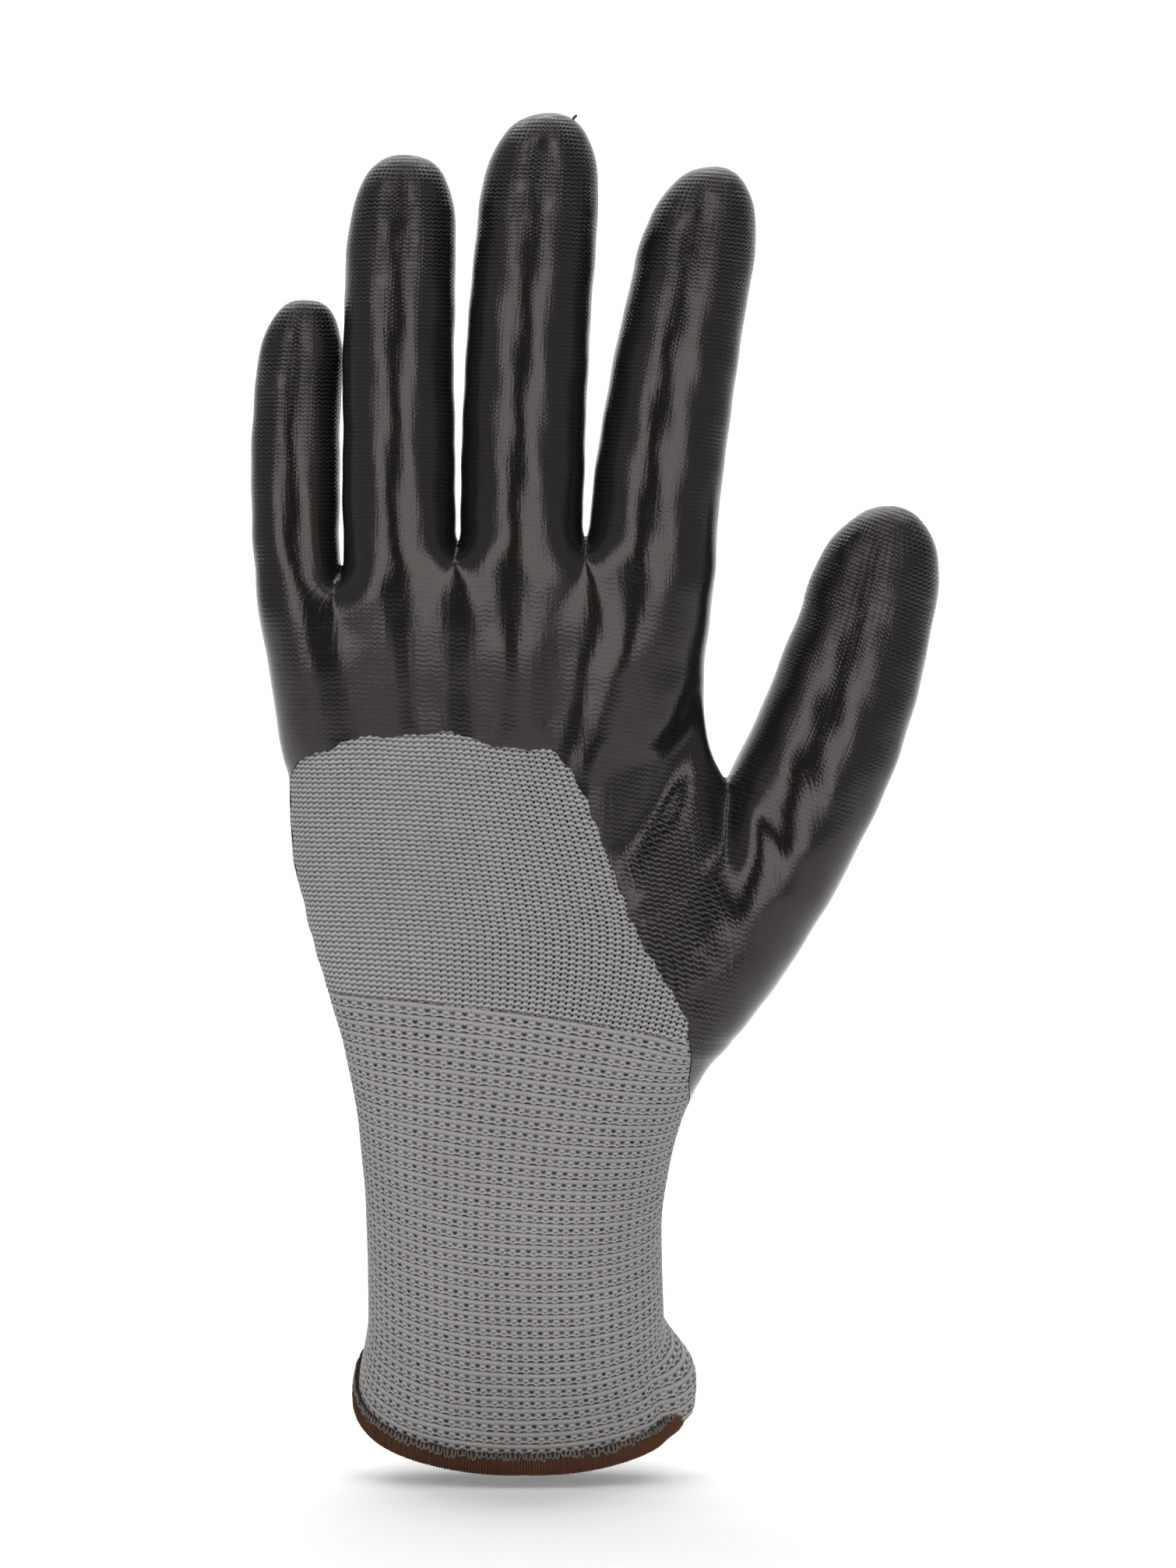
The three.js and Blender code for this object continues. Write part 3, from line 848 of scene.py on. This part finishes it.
def coat_material():
    material, tree, shader = new_material("nitrile_coat")
    row, wale = knit_coordinates(tree)
    imprint = attribute(tree, "imprint")
    wander = place_noise(tree, 160, 2) - 0.5
    row = row + wander * 0.7
    wale = wale + wander * 0.45
    swing = wale.wave(1)
    ripple = (row + swing * 0.15).wave(1)
    knots = (wale * 2.0).wave(1, 0.6) * 0.2
    patches = place_noise(tree, 280, 2)
    grain = place_noise(tree, 2300, 2, 0.6)
    streaks = stretched_noise(tree, row * 0.09, wale * 2.6)
    pores = place_noise(tree, 1100, 1).ramp(0.74, 0.8)
    mottle = place_noise(tree, 60, 3)
    strength = imprint * patches.ramp(0.2, 0.62)
    # valley and crest carry painted shade and a painted highlight on the knit's imprint.
    valley = (1.0 - ripple) * 0.5 * strength.minimum(1.0)
    plain = mix_colours(tree, mottle * 0.6 + grain * 0.4, (0.0064, 0.0060, 0.0058),
                        (0.0112, 0.0104, 0.0100))
    # Painted highlight: the imprint's crests are mixed towards a lighter brown.
    crest = (ripple.ramp(0.2, 1.0) * strength * 0.6).minimum(0.8)
    raised = mix_colours(tree, crest, plain, (0.045, 0.042, 0.040))
    # Painted shade: the imprint's valleys are mixed towards near black.
    colour = mix_colours(tree, valley, raised, (0.003, 0.003, 0.003))
    tree.links.new(colour, shader.inputs["Base Color"])
    rough = 0.12 + (mottle - 0.5) * 0.06 + grain * 0.05 + imprint * 0.05
    tree.links.new(rough.socket, shader.inputs["Roughness"])
    tree.links.new((0.5 - valley * 0.38).socket, shader.inputs["Specular IOR Level"])
    shader.inputs["Specular Tint"].default_value = (1.0, 0.93, 0.89, 1)
    height = (ripple + knots) * strength * 0.4 + grain * 0.3 + streaks * 0.34 - pores * 0.12
    add_bump(tree, shader, height, 0.0001)
    return material


def hem_material():
    material, tree, shader = new_material("hem_thread")
    row, wale = knit_coordinates(tree)
    thread = (wale + place_noise(tree, 300, 1) * 0.5).wave(1)
    strand = (wale * 5.0 + row * 1.2).wave(1)
    edge = row.ramp(0.93, 1.0)
    blotch = place_noise(tree, 120, 2)
    fibre = place_noise(tree, 6000, 2, 0.7)
    base = mix_colours(tree, thread * 0.35 + 0.25 + fibre * 0.3 + (blotch - 0.5) * 0.6,
                       (0.045, 0.017, 0.008), (0.135, 0.057, 0.03))
    colour = mix_colours(tree, edge * 0.8, base, (0.022, 0.024, 0.017))
    tree.links.new(colour, shader.inputs["Base Color"])
    shader.inputs["Roughness"].default_value = 0.8
    shader.inputs["Specular IOR Level"].default_value = 0.2
    add_bump(tree, shader, strand * 0.25 + fibre * 0.4, 0.0001)
    return material


def yarn_material():
    material, tree, shader = new_material("loose_yarn")
    fibre = place_noise(tree, 5000, 3, 0.7)
    blotch = place_noise(tree, 300, 2)
    colour = mix_colours(tree, fibre * 0.6 + blotch * 0.5 - 0.1, (0.05, 0.052, 0.046),
                         (0.21, 0.208, 0.198))
    tree.links.new(colour, shader.inputs["Base Color"])
    shader.inputs["Roughness"].default_value = 0.85
    add_bump(tree, shader, fibre, 0.00008)
    return material


PANEL_KNIT = knit_material("panel_knit", ribbed=False)
CUFF_KNIT = knit_material("cuff_knit", ribbed=True)
LINING_KNIT = knit_material("lining_knit", ribbed=False, inside=True)
COAT = coat_material()
HEM_THREAD = hem_material()
YARN = yarn_material()


def finish_piece(obj, material):
    obj.data.materials.append(material)
    return obj


# --- the coating --------------------------------------------------------------
NET_PITCH = 0.75
NET_LOW = np.array([-67.0, -24.0, 61.0])
NET_HIGH = np.array([68.0, 31.0, 253.0])

net_points, net_quads = surface_net(NET_LOW, NET_HIGH, NET_PITCH)
net_points, net_normals = settle(net_points)


def digit_parts(points):
    """For each point the number of the digit it belongs to, -1 for the hand."""
    x, y, z = points.T
    names = list(DIGITS)
    fields = np.stack([digit_field(n, x, y, z) for n in names])
    nearest = fields.argmin(0)
    owner = np.full(len(points), -1)
    for i, name in enumerate(names):
        start = BENDS[name][0]
        joint = f"{name}_{start[0]}"
        along = (points - joint_point(joint)) @ joint_up(joint)
        mine = (nearest == i) & (along > start[3])
        owner[mine] = i
    return owner


def knit_on_digit(name, points):
    """Row and wale of points on a digit, the wale starting at the middle of its back."""
    x, y, z = points.T
    start, height, tip_x, _ = DIGITS[name]["tip"]
    centre_x, _, _, centre_y = DIGIT_PROFILES[name](np.minimum(z, start))
    rise = np.clip((z - start) / (height - start), 0, 1)
    centre_x = centre_x + (tip_x - centre_x) * rise
    joint = f"{name}_{BENDS[name][0][0]}"
    along = (points - joint_point(joint)) @ joint_up(joint)
    turn = np.arctan2(x - centre_x, -(y - centre_y)) / TURN
    return along / FINGER_COURSE, turn * DIGITS[name]["wales"]


def knit_on_body(points):
    """Row and wale of points on the palm."""
    x, y, z = points.T
    height, depth = body_height(x, y, z)
    left, right, back, palm = BODY_PROFILE(height)
    u = (x - (left + right) / 2) / ((right - left) / 2)
    v = (depth - (palm + back) / 2) / ((palm - back) / 2)
    around = np.arctan2(signed_power(v, SQUARENESS / 2), signed_power(u, SQUARENESS / 2))
    return (height + course_drop(x)) / COURSE, arc_share(height, around) * PALM_WALES


def knit_on_hand(points):
    """Row and wale of the coating on the palm and the thumb's base."""
    x, y, z = points.T
    height, _ = body_height(x, y, z)
    aside = x + 1.2 * (y + 8) * np.clip((x + 15) / 25, -1, 1)
    return (height + course_drop(x)) / COURSE, aside / WALE


def imprint_of(points, normals):
    """How strongly the knit shows through the coating, as relief and as painted highlight and
    shade: most at tips, sides and the web.
    """
    x, y, z = points.T
    strength = np.full(len(points), 0.045)
    for name in DIGITS:
        _, height, _, _ = DIGITS[name]["tip"]
        mine = digit_field(name, x, y, z) < 2.0
        tip = smoothstep(height - 42, height - 8, z)
        side = np.abs(normals[:, 0]) ** 1.5 * smoothstep(height - 75, height - 50, z)
        base = 0.03 if name == "thumb" else 0.1
        strength = np.maximum(strength, mine * (base + 0.75 * tip + 0.45 * side))
    web = bump(x, z, 14, 103, 9, 18) * smoothstep(4, -2, y)
    low = smoothstep(96, 70, z)
    knuckles = smoothstep(172, 152, z) * smoothstep(108, 124, z) * smoothstep(2, -4, y)
    palm = smoothstep(4, 12, y) * 0.18
    return np.clip(strength + 2.2 * web + 0.3 * low + 0.12 * knuckles + palm, 0, 2.0)


NO_PERIOD = 1e9


def coat_piece(name, faces, owner_name):
    """One piece of the coating, of the hand (None) or of a digit."""
    faces, points, normals = compact(faces, skin, skin_normals)
    if owner_name is None:
        row, wale = knit_on_hand(points)
        period = NO_PERIOD
    else:
        row, wale = knit_on_digit(owner_name, points)
        period = DIGITS[owner_name]["wales"]
    knit = np.stack([row[faces], unwrap(wale[faces], period)], -1)
    values = {"imprint": imprint_of(points, normals)}
    obj = new_object(name, points, faces, normals, knit.reshape(-1, 2), None, values)
    return finish_piece(obj, COAT)


g_net = bare(net_points)
triangles = np.concatenate([net_quads[:, [0, 1, 2]], net_quads[:, [0, 2, 3]]])
skin, skin_normals, skin_faces, g_skin, rim = clip(net_points, net_normals, triangles, g_net)
# Towards its edge the coating thins down to the knit, and a rim closes it.
EDGE_THINNING, EDGE_WIDTH, RIM_DEPTH = 0.42, 2.2, 0.75
thin = EDGE_THINNING * (1 - smoothstep(0, EDGE_WIDTH, -g_skin))
skin = skin - skin_normals * thin[:, None]
lower = skin[rim] - skin_normals[rim] * RIM_DEPTH
count = len(skin)
first = count + 2 * np.arange(len(rim))
rim_faces = np.stack([rim[:, 0], rim[:, 1], first + 1, first], -1)
skin = np.concatenate([skin, lower.reshape(-1, 3)])
skin_normals = np.concatenate([skin_normals, skin_normals[rim].reshape(-1, 3)])
skin_faces = np.concatenate([skin_faces, rim_faces[:, [0, 1, 2]], rim_faces[:, [0, 2, 3]]])

face_centres = skin[skin_faces].mean(1)
face_owner = digit_parts(face_centres)

hand_coat = coat_piece("coating_hand", skin_faces[face_owner < 0], None)
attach(hand_coat, "hand")
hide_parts("coat_hand")

for number, name in enumerate(DIGITS):
    own = np.flatnonzero(face_owner == number)
    spans = BENDS[name]
    placed = np.zeros(len(own), int)
    for n, (joint, _, _, start, _) in enumerate(spans[1:], 1):
        key = f"{name}_{joint}"
        along = (face_centres[own] - joint_point(key)) @ joint_up(key)
        placed[along > start - 0.5] = n
    for n, (joint, low_body, high_body, start, end) in enumerate(spans):
        key = f"{name}_{joint}"
        piece = coat_piece(f"coating_{name}_{joint}", skin_faces[own[placed == n]], name)
        up, centre = joint_up(key), joint_point(key)
        Vector(to_frame(centre + start * up))
        Vector(to_frame(centre + end * up))
        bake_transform(piece)
        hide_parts(f"coat_{high_body}", f"liner_{high_body}")

# --- the knit: cuff, wrist and bare panel -------------------------------------
KNIT_INSET = 0.62             # how far the knit lies below the coating's surface
LINING_INSET = KNIT_INSET + THICKNESS - 0.5
PANEL_BOTTOM, PANEL_TOP = 76.0, 141.0
HAND_KNIT_BOTTOM = WRIST_ZONE[1] + 0.6
SETTLE_FROM = HAND_KNIT_BOTTOM  # body height from which the knit follows the pads and creases


def yarn_height(row, wale, ribbed, opened):
    """Relief of the yarn in millimetres, coarser than the material's."""
    if ribbed:
        place = row % 1.0
        loop = np.cos(TURN * wale)
        edge = 0.055 - 0.03 * loop
        line = np.exp(-((((place + 0.5 - edge) % 1.0) - 0.5) / 0.085) ** 2)
        hole = np.exp(-((place - 0.47) / 0.13) ** 2) * np.clip(-loop, 0, 1)
        smooth = smoothstep(0.64, 0.76, place) * (1 - smoothstep(0.92, 1.0, place))
        loops = np.exp(-((place - 0.2 + 0.035 * loop) / 0.12) ** 2)
        return 0.08 * smooth + 0.08 * loops - 0.16 * line - 0.14 * hole
    near = np.cos(TURN * (wale - 0.2))
    far = np.cos(TURN * (wale - 0.8))
    big = np.exp(-((((row + 0.17) % 1.0) - 0.5) / 0.28) ** 2) * np.clip(near, 0, 1)
    small = np.exp(-((((row - 0.15) % 1.0) - 0.5) / 0.2) ** 2) * np.clip(far, 0, 1)
    groove = np.exp(-(((row % 1.0) - 0.5) / 0.2) ** 2)
    return 0.08 - 0.1 * groove - (0.22 * big + 0.12 * small) * (0.3 + 0.7 * opened)


def lip_crest(share, middle, width):
    """1 at one place round the cuff, falling off to either side."""
    return np.exp(-(((share - middle + 0.5) % 1.0 - 0.5) / width) ** 2)


def flare(height, share):
    """The rolled lip at the thumb side of the cuff: how far out it stands."""
    lip = smoothstep(26.5, 19.0, height) * (1 - 0.4 * smoothstep(19, 12, height))
    crest = lip_crest(share, 0.24, 0.045)
    crease = lip_crest(share, 0.178, 0.014)
    return lip * (4.0 * crest - 1.0 * crease)


LIP_DROOP = 1.9               # how far the lip hangs down over the hem


def knit_grid(heights, shares, ribbed):
    """Points of the knit at each height and share of the way round."""
    height, share = np.meshgrid(heights, shares, indexing="ij")
    height, share = height.ravel(), share.ravel()
    tables = {h: arc_table(h) for h in heights}
    around = np.concatenate([np.interp(shares % 1.0, tables[h], AROUND) for h in heights])
    points = body_point(height, around, KNIT_INSET)
    outward = body_point(height, around, KNIT_INSET - 1.0) - points
    outward /= np.linalg.norm(outward, axis=1, keepdims=True)
    upper = height > SETTLE_FROM
    if upper.any():
        moved, normals = settle(points[upper], -KNIT_INSET, 2)
        share_moved = smoothstep(SETTLE_FROM, SETTLE_FROM + 6, height[upper])[:, None]
        points[upper] += (moved - points[upper]) * share_moved
        outward[upper] += (normals - outward[upper]) * share_moved
    fall = course_drop(points[:, 0]) * smoothstep(36, 84, height)
    if ribbed:
        row, wale = (height + fall - HEM_TOP) / RIB, share * RIB_WALES
    else:
        row, wale = (height + course_drop(points[:, 0])) / COURSE, share * PALM_WALES
    opened = open_knit(points)
    wobble = 0.1 * np.sin(row * 0.9 + 3 * np.sin(wale * 0.21)) * np.sin(wale * 0.13 + 1)
    stand = yarn_height(row, wale, ribbed, opened) + wobble + flare(height, share)
    if not ribbed:
        stand = stand - 0.3 * smoothstep(0.7, -0.3, rib_top(points))
    points = points + outward * stand[:, None]
    points[:, 2] -= LIP_DROOP * lip_crest(share, 0.235, 0.06) * smoothstep(24, 13, height)
    return points, row, wale, opened


def open_knit(points):
    """How stretched the knit is, so how open its gaps are: most towards the thumb."""
    x, _, z = points.T
    return 0.3 + 0.7 * smoothstep(-42, 0, x + (100 - z) * 0.1)


def grid_faces(rows, columns):
    """Quads of a grid that closes on itself, row by row."""
    i, j = np.meshgrid(np.arange(rows - 1), np.arange(columns), indexing="ij")
    i, j = i.ravel(), j.ravel()
    k = (j + 1) % columns
    low, high = i * columns, (i + 1) * columns
    return np.stack([low + j, low + k, high + k, high + j], -1)


def knit_piece(name, low, high, ribbed, material, keep=None):
    per_row = 7 if ribbed else 5
    per_wale = 5 if ribbed else 4
    pitch, wales = (RIB, RIB_WALES) if ribbed else (COURSE, PALM_WALES)
    rows = int(round((high - low) / pitch * per_row)) + 1
    columns = wales * per_wale
    heights = np.linspace(low, high, rows)
    shares = np.arange(columns) / columns
    points, row, wale, opened = knit_grid(heights, shares, ribbed)
    faces = grid_faces(rows, columns)
    if keep is not None:
        faces = faces[keep(points)[faces].min(1) > 0]
    place = np.stack([(faces // columns) / rows, (faces % columns) / columns], -1)
    wrapped = place[:, :, 1] - np.round(place[:, :, 1] - place[:, :1, 1])
    bake = np.stack([np.where(wrapped < 0, wrapped + 1, wrapped), place[:, :, 0]], -1)
    crossing = place[:, :, 1] - place[:, :1, 1] < -0.5
    bake[:, :, 0] = np.clip(np.where(crossing, 1.0, bake[:, :, 0]), 0, 1)
    knit = np.stack([row[faces], unwrap(wale[faces], wales)], -1).reshape(-1, 2)
    flat = bake.reshape(-1, 2)
    faces_small, points, opened = compact(faces, points, opened)
    obj = new_object(name, points, faces_small, None, knit, flat, {"open_knit": opened})
    return finish_piece(obj, material)


def rib_top(points):
    """Above 0 where the cuff's bands have given way to the panel's rows."""
    x, y, z = points.T
    height, _ = body_height(x, y, z)
    return height + course_drop(x) * smoothstep(36, 84, height) - RIB_TOP


def overlap(points):
    """Above 0 where the knit is bare or just under the coating's edge."""
    return bare(points) + 3.0


cuff_knit = knit_piece("cuff_knit", HEM_TOP - 1.0, WRIST_ZONE[0], True, CUFF_KNIT)
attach(cuff_knit, "cuff")
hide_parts("liner_cuff")

wrist_knit = knit_piece("wrist_knit", WRIST_ZONE[0], HAND_KNIT_BOTTOM, True, CUFF_KNIT)
WRIST_SPAN = [Vector(to_frame([WRIST_DESIGN[0], lean(np.float64(h))[0], h])) for h in WRIST_ZONE]
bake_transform(wrist_knit)
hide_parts("liner_wrist")

upper_cuff = knit_piece("hand_cuff_knit", HAND_KNIT_BOTTOM, RIB_TOP + 1.0, True, CUFF_KNIT,
                        lambda p: np.minimum(overlap(p), 0.4 - rib_top(p)))
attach(upper_cuff, "hand")
panel = knit_piece("hand_panel_knit", PANEL_BOTTOM, PANEL_TOP, False, PANEL_KNIT,
                   lambda p: np.minimum(np.minimum(overlap(p), 0.4 + rib_top(p)), 12 - p[:, 1]))
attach(panel, "hand")
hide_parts("liner_hand")


# --- the lining: the knit's inner face ----------------------------------------
LINING_OPENNESS = 0.2


def lining_from_grid(name, low, high):
    columns = 200
    heights = np.linspace(low, high, max(4, int((high - low) / 0.9)))
    height, share = np.meshgrid(heights, np.arange(columns) / columns, indexing="ij")
    around = np.concatenate([angle_at(h, np.arange(columns) / columns) for h in heights])
    height, share = height.ravel(), share.ravel()
    inset = LINING_INSET - flare(height, share) * 0.9
    points = body_point(height, around, inset)
    faces = grid_faces(len(heights), columns)[:, ::-1]
    wale = unwrap((share * PALM_WALES)[faces], PALM_WALES)
    knit = np.stack([(height / COURSE)[faces], wale], -1).reshape(-1, 2)
    values = {"open_knit": np.full(len(points), LINING_OPENNESS)}
    obj = new_object(name, points, faces, None, knit, None, values)
    return finish_piece(obj, LINING_KNIT)


lining_cuff = lining_from_grid("lining_cuff", HEM_TOP - 3.0, WRIST_ZONE[0])
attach(lining_cuff, "cuff")
lining_wrist = lining_from_grid("lining_wrist", WRIST_ZONE[0], HAND_KNIT_BOTTOM)
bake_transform(lining_wrist)


def hand_lining():
    owner = digit_parts(net_points[net_quads].mean(1))
    height, _ = body_height(*net_points.T)
    faces = net_quads[(owner < 0) & (height[net_quads].min(1) > WRIST_ZONE[1] - 0.8)][:, ::-1]
    faces, points, normals = compact(faces, net_points, net_normals)
    row, wale = knit_on_body(points)
    points = points - normals * LINING_INSET
    knit = np.stack([row[faces], unwrap(wale[faces], PALM_WALES)], -1).reshape(-1, 2)
    values = {"open_knit": np.full(len(points), LINING_OPENNESS)}
    obj = new_object("lining_hand", points, faces, -normals, knit, None, values)
    return finish_piece(obj, LINING_KNIT)


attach(hand_lining(), "hand")


# --- the hem ------------------------------------------------------------------
HEM_RIBS = 324


def hem_ring(height, shares, inset):
    """One ring of the hem, tucked in where the lip hangs over it."""
    table = arc_table(max(height, HEM_BOTTOM))
    around = np.interp(shares % 1.0, table, AROUND)
    level = np.full(len(shares), float(height))
    tucked = lip_crest(shares, 0.25, 0.05)
    out = flare(level, shares) * (1 - lip_crest(shares, 0.25, 0.06))
    return body_point(level, around, inset + tucked - out)


def hem():
    """The overlock band: a flat loop of thread ribs wrapped over the cuff's edge."""
    per_rib = 4
    columns = HEM_RIBS * per_rib
    shares = np.arange(columns) / columns
    # Section from the top of the outer face, round the bottom, to the top of the inner face:
    # share of the way, height, inset.
    section = [(1.0, 3.9, 0.85), (0.97, 3.8, 0.3), (0.9, 3.4, -0.2), (0.75, 2.7, -0.5),
               (0.6, 1.8, -0.55), (0.48, 0.9, -0.45), (0.4, 0.25, 0.0), (0.34, -0.1, 0.8),
               (0.28, 0.25, 1.7), (0.2, 1.1, 2.2), (0.12, 2.2, 2.35), (0.04, 3.3, 2.2),
               (0.0, 3.8, 1.6)]
    rng = np.random.default_rng(4)
    jitter = np.repeat(rng.normal(0, 1, HEM_RIBS), per_rib)
    rib = np.cos(TURN * shares * HEM_RIBS)
    rings = []
    stand = 0.13 * rib + 0.035 * jitter + 0.12 * np.sin(shares * 40)
    for t, rise, inset in section:
        slant = 0.9 * (t - 0.5) / HEM_RIBS
        drop = 0.12 * jitter if rise > 3 else 0.04 * jitter
        ring = hem_ring(HEM_BOTTOM + rise, shares + slant, inset - stand)
        ring[:, 2] += drop
        rings.append(ring)
    points = np.concatenate(rings)
    faces = grid_faces(len(section), columns)[:, ::-1]
    wale = unwrap((np.tile(shares, len(section)) * HEM_RIBS)[faces], HEM_RIBS)
    row = np.repeat([t for t, _, _ in section], columns)[faces]
    knit = np.stack([row, wale], -1).reshape(-1, 2)
    obj = new_object("hem_thread_band", points, faces, None, knit, None, None)
    return finish_piece(obj, HEM_THREAD)


hem_band = hem()
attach(hem_band, "cuff")
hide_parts("hem_binding")


# --- loose loops over the hem, and the yarn's end -----------------------------
def tube(path, radius, sides=6):
    """Points and quads of a closed-end tube along a path of design points."""
    path = np.asarray(path, float)
    ahead = np.gradient(path, axis=0)
    ahead /= np.linalg.norm(ahead, axis=1, keepdims=True)
    guide = np.array([0.31, 0.42, 0.85])
    across = np.cross(ahead, guide)
    across /= np.linalg.norm(across, axis=1, keepdims=True)
    up = np.cross(ahead, across)
    turn = TURN * np.arange(sides) / sides
    taper = np.full(len(path), radius)
    taper[[0, -1]] *= 0.35
    ring = across[:, None] * np.cos(turn)[:, None] + up[:, None] * np.sin(turn)[:, None]
    points = (path[:, None] + ring * taper[:, None, None]).reshape(-1, 3)
    return points, grid_faces(len(path), sides)


def gather(tubes):
    points, faces, count = [], [], 0
    for p, f in tubes:
        points.append(p)
        faces.append(f + count)
        count += len(p)
    return np.concatenate(points), np.concatenate(faces)


FRINGE_LOOPS = 190


def fringe():
    """Small loops of the liner's yarn that the overlock left standing over its upper edge."""
    rng = np.random.default_rng(11)
    tubes = []
    for n in range(FRINGE_LOOPS):
        share = (n + rng.uniform(-0.25, 0.25)) / FRINGE_LOOPS
        wide = rng.uniform(0.35, 0.6) / FRINGE_LOOPS
        tall = rng.uniform(0.7, 1.5)
        t = np.linspace(0, TURN / 2, 9)
        places = share + wide * np.cos(t)
        rise = HEM_TOP + 1.0 - tall * np.sin(t) ** 0.8
        out = 0.1 + rng.uniform(0.0, 0.2) + 0.2 * np.sin(t)
        path = np.concatenate([hem_ring(r, np.array([p]), -o)
                               for r, p, o in zip(rise, places, out)])
        tubes.append(tube(path, rng.uniform(0.13, 0.2), 5))
    points, faces = gather(tubes)
    obj = new_object("hem_fringe", points, faces)
    return finish_piece(obj, YARN)


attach(fringe(), "cuff")


def nub():
    """The liner's yarn end, standing out of the middle finger's tip."""
    base = np.array([[-4.7, 5.6, 248.0]])
    base, normal = settle(base, 0.0, 5)
    t = np.linspace(-0.4, 1.0, 8)[:, None]
    side = np.array([0.5, -0.2, 0.0])
    path = base + normal * (0.95 * t) + side * (0.5 * t ** 2)
    points, faces = tube(path, 0.28, 8)
    obj = new_object("tip_yarn_end", points, faces)
    return finish_piece(obj, COAT)


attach(nub(), "middle_distal")

# --- studio -------------------------------------------------------------------
def stage_material():
    material, tree, shader = new_material("backdrop")
    shader.inputs["Base Color"].default_value = (0.96, 0.96, 0.96, 1)
    shader.inputs["Roughness"].default_value = 0.9
    return material


FLOOR_GAP, FLOOR_HALF = 0.004, 3.0


def studio():
    """A pale floor that sweeps up into a backdrop."""
    floor_z = to_frame([0, 0, 0.0])[2] - FLOOR_GAP
    profile = [(-2.5, 0.0), (1.0, 0.0), (1.3, 0.03), (1.55, 0.14), (1.75, 0.35),
               (1.85, 0.65), (1.88, 1.0), (1.9, 3.0)]
    points, faces = [], []
    for y, z in profile:
        points += [(-FLOOR_HALF, y, floor_z + z), (FLOOR_HALF, y, floor_z + z)]
    for i in range(len(profile) - 1):
        faces.append((2 * i, 2 * i + 1, 2 * i + 3, 2 * i + 2))
    mesh = bpy.data.meshes.new("sweep")
    mesh.from_pydata(points, [], faces)
    mesh.shade_smooth()
    obj = bpy.data.objects.new("sweep", mesh)
    bpy.context.scene.collection.objects.link(obj)
    mesh.materials.append(stage_material())


def area_light(name, place, target, width, height, power):
    data = bpy.data.lights.new(name, "AREA")
    data.shape = "RECTANGLE"
    data.size, data.size_y = width, height
    data.energy = power
    obj = bpy.data.objects.new(name, data)
    obj.location = place
    obj.rotation_euler = (Vector(target) - Vector(place)).to_track_quat("-Z", "Y").to_euler()
    bpy.context.scene.collection.objects.link(obj)


studio()
KEY_DISTANCE = 1.4
KEY_BOTTOM = 0.1
KEY_HEIGHT = 3.4
KEY_RADIANCE = 2.3


def key_light(name, azimuth, wide):
    """A tall soft strip, azimuth degrees to the camera's right, seen from the glove."""
    turn = math.radians(azimuth)
    width = 2 * KEY_DISTANCE * math.tan(math.radians(wide / 2))
    middle = KEY_BOTTOM + KEY_HEIGHT / 2
    place = Vector((math.sin(turn) * KEY_DISTANCE, -math.cos(turn) * KEY_DISTANCE, middle))
    power = KEY_RADIANCE * math.pi * width * KEY_HEIGHT
    area_light(name, place, (0, 0, middle), width, KEY_HEIGHT, power)


key_light("key_left", -36, 24)
key_light("key_right", 19, 28)
area_light("over", (0.0, 0.55, 1.9), (0, 0.5, 0), 2.4, 1.5, 18)
area_light("behind", (0.0, 0.9, 1.5), (0.0, 1.7, 0.3), 2.4, 0.8, 22)


AMBIENT = 0.38
DARK_MIDDLE = math.radians(-9)
DARK_INNER, DARK_OUTER = math.radians(13), math.radians(24)


def world():
    """Even light from all round, with a dark band in front between the two key lights."""
    made = bpy.data.worlds.new("studio")
    bpy.context.scene.world = made
    made.use_nodes = True
    tree = made.node_tree
    coords = tree.nodes.new("ShaderNodeTexCoord")
    split = tree.nodes.new("ShaderNodeSeparateXYZ")
    tree.links.new(coords.outputs["Generated"], split.inputs[0])
    aside, away, high = (Maths(tree, split.outputs[n]) for n in range(3))
    turn = aside._op("ARCTAN2", away * -1.0)
    dark = (turn - DARK_MIDDLE).abs().ramp(DARK_OUTER, DARK_INNER) * high.ramp(-0.06, 0.03)
    background = tree.nodes["Background"]
    background.inputs["Color"].default_value = (1, 1, 1, 1)
    strength = (1.0 - dark * 0.92) * AMBIENT
    tree.links.new(strength.socket, background.inputs["Strength"])


world()
bpy.context.scene.view_settings.view_transform = "Standard"
